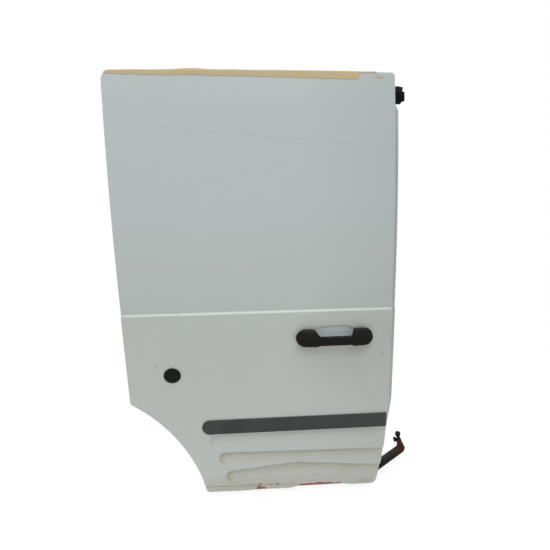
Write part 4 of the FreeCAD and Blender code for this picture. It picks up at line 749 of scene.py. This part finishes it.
# Rollers: turned black nylon with eased shoulders, dished sides and a shallow running groove, each loose on
# its pin. The nylon looks black with a faint soft shine.
nylon, tree, shader, place = finish_of("turned_black_nylon")
cloud = add(tree, "ShaderNodeTexNoise", {"Vector": place, "Scale": per_metre(11.1), "Detail": 5.0})
black = add(tree, "ShaderNodeMix", {0: cloud, 6: "#0C0C0C", 7: "#171616"}, 2, data_type="RGBA")
wire(tree, shader, {"Base Color": black, "Roughness": 0.45, "Specular IOR Level": 0.14})
for node, foot, axis, outside, bore, wide in (("upper_roller", (31.5, 142.367, 1233), "z", 17, 4.05, 17),
                                              ("lower_guide_roller", (138.5, 260, 15), "z", 10, 3.05, 12),
                                              ("lower_support_roller", (122, 240.5, 10), "y", 6.5, 2.55, 9)):
    shoulder = outside * 0.12
    half = [(bore, 0.4), (bore + 0.4, 0), (outside * 0.62, 0), (outside * 0.66, 0.5), (outside * 0.8, 0.5),
            (outside * 0.84, 0), (outside - shoulder, 0), (outside - 0.3 * shoulder, 0.3 * shoulder),
            (outside, shoulder), (outside, wide * 0.34), (outside * 0.965, wide * 0.42)]
    other_half = [(radius, wide - height) for radius, height in half[::-1]]
    wheel = turned(node + "_wheel", half + other_half + half[:1], foot, axis)
    wheel.data.materials.append(nylon)
    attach(wheel, frame["nodes"][node]["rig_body"])
    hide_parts(node)

# Fasteners on the inner side: flanged hexagon bolts hold the two roller arms, screws the latch case and
# rivets the lock control. All are zinc plated. Rows of painted spot welds show where the beams are joined.
PANEL_IN = 70.0
PANEL_BEND = 4885.0
FLANGE = 1.32
spread = bpy.data.node_groups.new("fastener_spread", "GeometryNodeTree")
for name, kind in (("Points", "Geometry"), ("Radius", "Float"), ("Height", "Float"), ("Washer", "Float"),
                   ("Sides", "Int"), ("Finish", "Material")):
    spread.interface.new_socket(name, in_out="INPUT", socket_type="NodeSocket" + kind)
spread.interface.new_socket("Fasteners", in_out="OUTPUT", socket_type="NodeSocketGeometry")
given = add(spread, "NodeGroupInput").node.outputs
head = add(spread, "GeometryNodeMeshCylinder",
           {"Vertices": given["Sides"], "Radius": given["Radius"], "Depth": given["Height"]})
half_height = add(spread, "ShaderNodeMath", {0: given["Height"], 1: 0.5}, operation="MULTIPLY")
head_lift = add(spread, "ShaderNodeCombineXYZ", {"Z": half_height})
raised = add(spread, "GeometryNodeTransform", {"Geometry": head, "Translation": head_lift})
flange = add(spread, "ShaderNodeMath", {0: given["Radius"], 1: FLANGE}, operation="MULTIPLY")
washer = add(spread, "GeometryNodeMeshCylinder", {"Vertices": 28, "Radius": flange, "Depth": given["Washer"]})
whole = add(spread, "GeometryNodeJoinGeometry", {0: raised})
wire(spread, whole.node, {0: washer})
facing = add(spread, "GeometryNodeInputNamedAttribute", {"Name": "facing"}, data_type="FLOAT_VECTOR")
standing = add(spread, "FunctionNodeAlignRotationToVector", {"Vector": facing}, axis="Z")
chance = add(spread, "FunctionNodeRandomValue", {2: 0.0, 3: 2 * math.pi, "Seed": 7}, 1, data_type="FLOAT")
twist = add(spread, "FunctionNodeAxisAngleToRotation", {"Axis": (0, 0, 1), "Angle": chance})
tightened = add(spread, "FunctionNodeRotateRotation", {0: standing, 1: twist}, rotation_space="LOCAL")
placed = add(spread, "GeometryNodeInstanceOnPoints",
             {"Points": given["Points"], "Instance": whole, "Rotation": tightened})
solid = add(spread, "GeometryNodeRealizeInstances", {0: placed})
finished = add(spread, "GeometryNodeSetMaterial", {"Geometry": solid, "Material": given["Finish"]})
wire(spread, spread.nodes.new("NodeGroupOutput"), {0: finished})


def fastened(name, spots, stand, radius, tall, washer_thick, sides, material):
    """One kind of fastener, spread over (across, height) places and standing this far off the inner panel."""
    spots = np.array(spots, float)
    upper = np.clip(spots[:, 1] - CREASE, 0, None)
    depth = PANEL_IN + upper ** 2 / (2 * PANEL_BEND)
    lean = np.c_[np.zeros(len(spots)), np.ones(len(spots)), -upper / PANEL_BEND]
    lean /= np.linalg.norm(lean, axis=1)[:, None]
    made = hold(name, np.c_[spots[:, 0], depth, spots[:, 1]] + lean * stand, [])
    way = made.data.attributes.new("facing", "FLOAT_VECTOR", "POINT")
    way.data.foreach_set("vector", lean.astype(np.float32).ravel())
    nodes = made.modifiers.new("spread", "NODES")
    nodes.node_group = spread
    keys = {item.name: item.identifier for item in spread.interface.items_tree if item.in_out == "INPUT"}
    for key, value in (("Radius", radius / 1000), ("Height", tall / 1000), ("Washer", washer_thick / 1000),
                       ("Sides", sides), ("Finish", material)):
        nodes[keys[key]] = value
    edge = made.modifiers.new("edges", "BEVEL")
    edge.width = tall / 6000
    edge.segments = 2
    settle(made, 35)
    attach(made, "door")


fastened("bracket_bolts", [(-98, 38), (-60, 38), (-66, 1217), (-34, 1217)], 6.2, 6.6, 5.2, 1.6, 6, plated)
fastened("latch_screws", [(-762, 414), (-708, 414), (-708, 452)], 0.1, 4.6, 2.6, 0.8, 24, plated)
fastened("control_rivets", [(-410, 428), (-356, 428), (-410, 512), (-356, 512)], 0.1, 3.6, 1.5, 0.5, 20,
         plated)
welds = [(x, z) for z in (600, 670) for x in np.arange(-735, -60, 75)]
welds += [(x, z) for x in (-588, -552, -78, -50) for z in (328, 352)]
fastened("spot_welds", welds, 0.0, 3.2, 0.35, 0.1, 18, panel_paint)

# Trim clips: nylon sockets pressed into the inner panel, which hold the load-space lining. The nylon is left
# uncoloured, so that it looks waxy and yellowish white.
clip_nylon, tree, shader, place = finish_of("natural_nylon")
cloud = add(tree, "ShaderNodeTexNoise", {"Vector": place, "Scale": per_metre(14.3), "Detail": 4.0})
waxy = add(tree, "ShaderNodeMix", {0: cloud, 6: "#B9B4A4", 7: "#CFCBBE"}, 2, data_type="RGBA")
wire(tree, shader, {"Base Color": waxy, "Roughness": 0.5})
clips = [(-47, z) for z in (260, 450, 640, 840, 1040)] + [(-758, z) for z in (700, 880, 1060)]
clips += [(x, 1222) for x in (-680, -490, -300)] + [(x, 55) for x in (-470, -270)]
clips += [(x, 412) for x in (-600, -380)]
fastened("trim_clips", clips, 0.2, 5.2, 2.4, 1.2, 24, clip_nylon)


# Photo studio: a matt white floor that keeps the door's shadow and fades out into white surroundings. An
# overcast sky lights the door from above and in front, and a soft box lights its inner side from behind.
def seen_straight(tree):
    """1 for rays that reach the eye straight, off a mirror or through glass, and 0 for those that light."""
    ray = add(tree, "ShaderNodeLightPath").node.outputs
    mirrored = add(tree, "ShaderNodeMath", {0: ray["Is Camera Ray"], 1: ray["Is Glossy Ray"]},
                   operation="MAXIMUM")
    return add(tree, "ShaderNodeMath", {0: mirrored, 1: ray["Is Transmission Ray"]}, operation="MAXIMUM")


FLOOR_HALF = 9000
FLOOR_LOW = -14
SHADOW_KEPT = 0.86
SKY_STRENGTH = 0.56
floor_sides = ((-1, -1), (1, -1), (1, 1), (-1, 1))
floor = hold("studio_floor", [(x * FLOOR_HALF, y * FLOOR_HALF, FLOOR_LOW) for x, y in floor_sides],
             [(0, 1, 2, 3)])
floor_white, tree, shader, place = finish_of("white_floor")
wire(tree, shader, {"Base Color": "#F4F4F4", "Roughness": 1.0})
glow = add(tree, "ShaderNodeEmission", {"Color": (1, 1, 1, 1), "Strength": 1.0})
whitened = add(tree, "ShaderNodeMath", {0: seen_straight(tree), 1: SHADOW_KEPT}, operation="MULTIPLY")
lit = add(tree, "ShaderNodeMixShader", {0: whitened, 1: shader.outputs[0], 2: glow})
door_foot = (0.35, 0.1, -0.54)
from_door = add(tree, "ShaderNodeVectorMath", {0: place, 1: door_foot}, "Value", operation="DISTANCE")
fading = add(tree, "ShaderNodeMapRange", {0: from_door, 1: 0.75, 2: 1.9})
clear = add(tree, "ShaderNodeBsdfTransparent")
faded = add(tree, "ShaderNodeMixShader", {0: fading, 1: lit, 2: clear})
wire(tree, tree.nodes["Material Output"], {"Surface": faded})
floor.data.materials.append(floor_white)

world = bpy.data.worlds.new("white_surroundings")
bpy.context.scene.world = world
world.use_nodes = True
tree = world.node_tree
sky = tree.nodes["Background"]
wire(tree, sky, {"Color": (1, 1, 1, 1), "Strength": SKY_STRENGTH})
white = add(tree, "ShaderNodeBackground", {"Color": (1, 1, 1, 1), "Strength": 1.0})
surrounding = add(tree, "ShaderNodeMixShader", {0: seen_straight(tree), 1: sky.outputs[0], 2: white})
wire(tree, tree.nodes["World Output"], {"Surface": surrounding})

lamps_aim = Vector((0.33, 0, 0.1))
overcast = bpy.data.lights.new("overcast_sky", "SUN")
overcast.energy = 2.3
overcast.angle = math.radians(60)
softbox = bpy.data.lights.new("rear_softbox", "AREA")
softbox.energy = 40.0
softbox.size = 2.2
for lamp, lamp_at in ((overcast, Vector((0.33, -1.3, 3.6))), (softbox, Vector((0.6, 2.2, 1.6)))):
    held = bpy.data.objects.new(lamp.name, lamp)
    held.location = lamp_at
    held.rotation_euler = (lamps_aim - lamp_at).to_track_quat("-Z", "Y").to_euler()
    bpy.context.scene.collection.objects.link(held)

# Camera: where the photograph was taken from, above the handle, looking slightly down and to the front. Its
# place, turn and lens were fitted to the edges of the door.
CAMERA_AT = (-429.5, -1154.1, 950.5)
PICTURE_WIDE = 550.0
FOCAL_PIXELS = 413.0
SENSOR_WIDE = 36.0
yaw, pitch, roll = (math.radians(angle) for angle in (3.9, 11.5, -0.599))
sight = Vector((math.sin(yaw) * math.cos(pitch), math.cos(yaw) * math.cos(pitch), -math.sin(pitch)))
level_right = Vector((math.cos(yaw), -math.sin(yaw), 0))
level_up = level_right.cross(sight)
view_right = level_right * math.cos(roll) + level_up * math.sin(roll)
view_up = level_up * math.cos(roll) - level_right * math.sin(roll)
lens = bpy.data.cameras.new("photo_lens")
lens.sensor_width = SENSOR_WIDE
lens.lens = SENSOR_WIDE * FOCAL_PIXELS / PICTURE_WIDE
camera = bpy.data.objects.new("photo_camera", lens)
camera_turn = Matrix((view_right, view_up, -sight)).transposed().to_4x4()
camera.matrix_world = Matrix.Translation(Vector(in_metres(CAMERA_AT))) @ camera_turn
bpy.context.scene.collection.objects.link(camera)
bpy.context.scene.camera = camera
bpy.context.scene.view_settings.view_transform = "Standard"
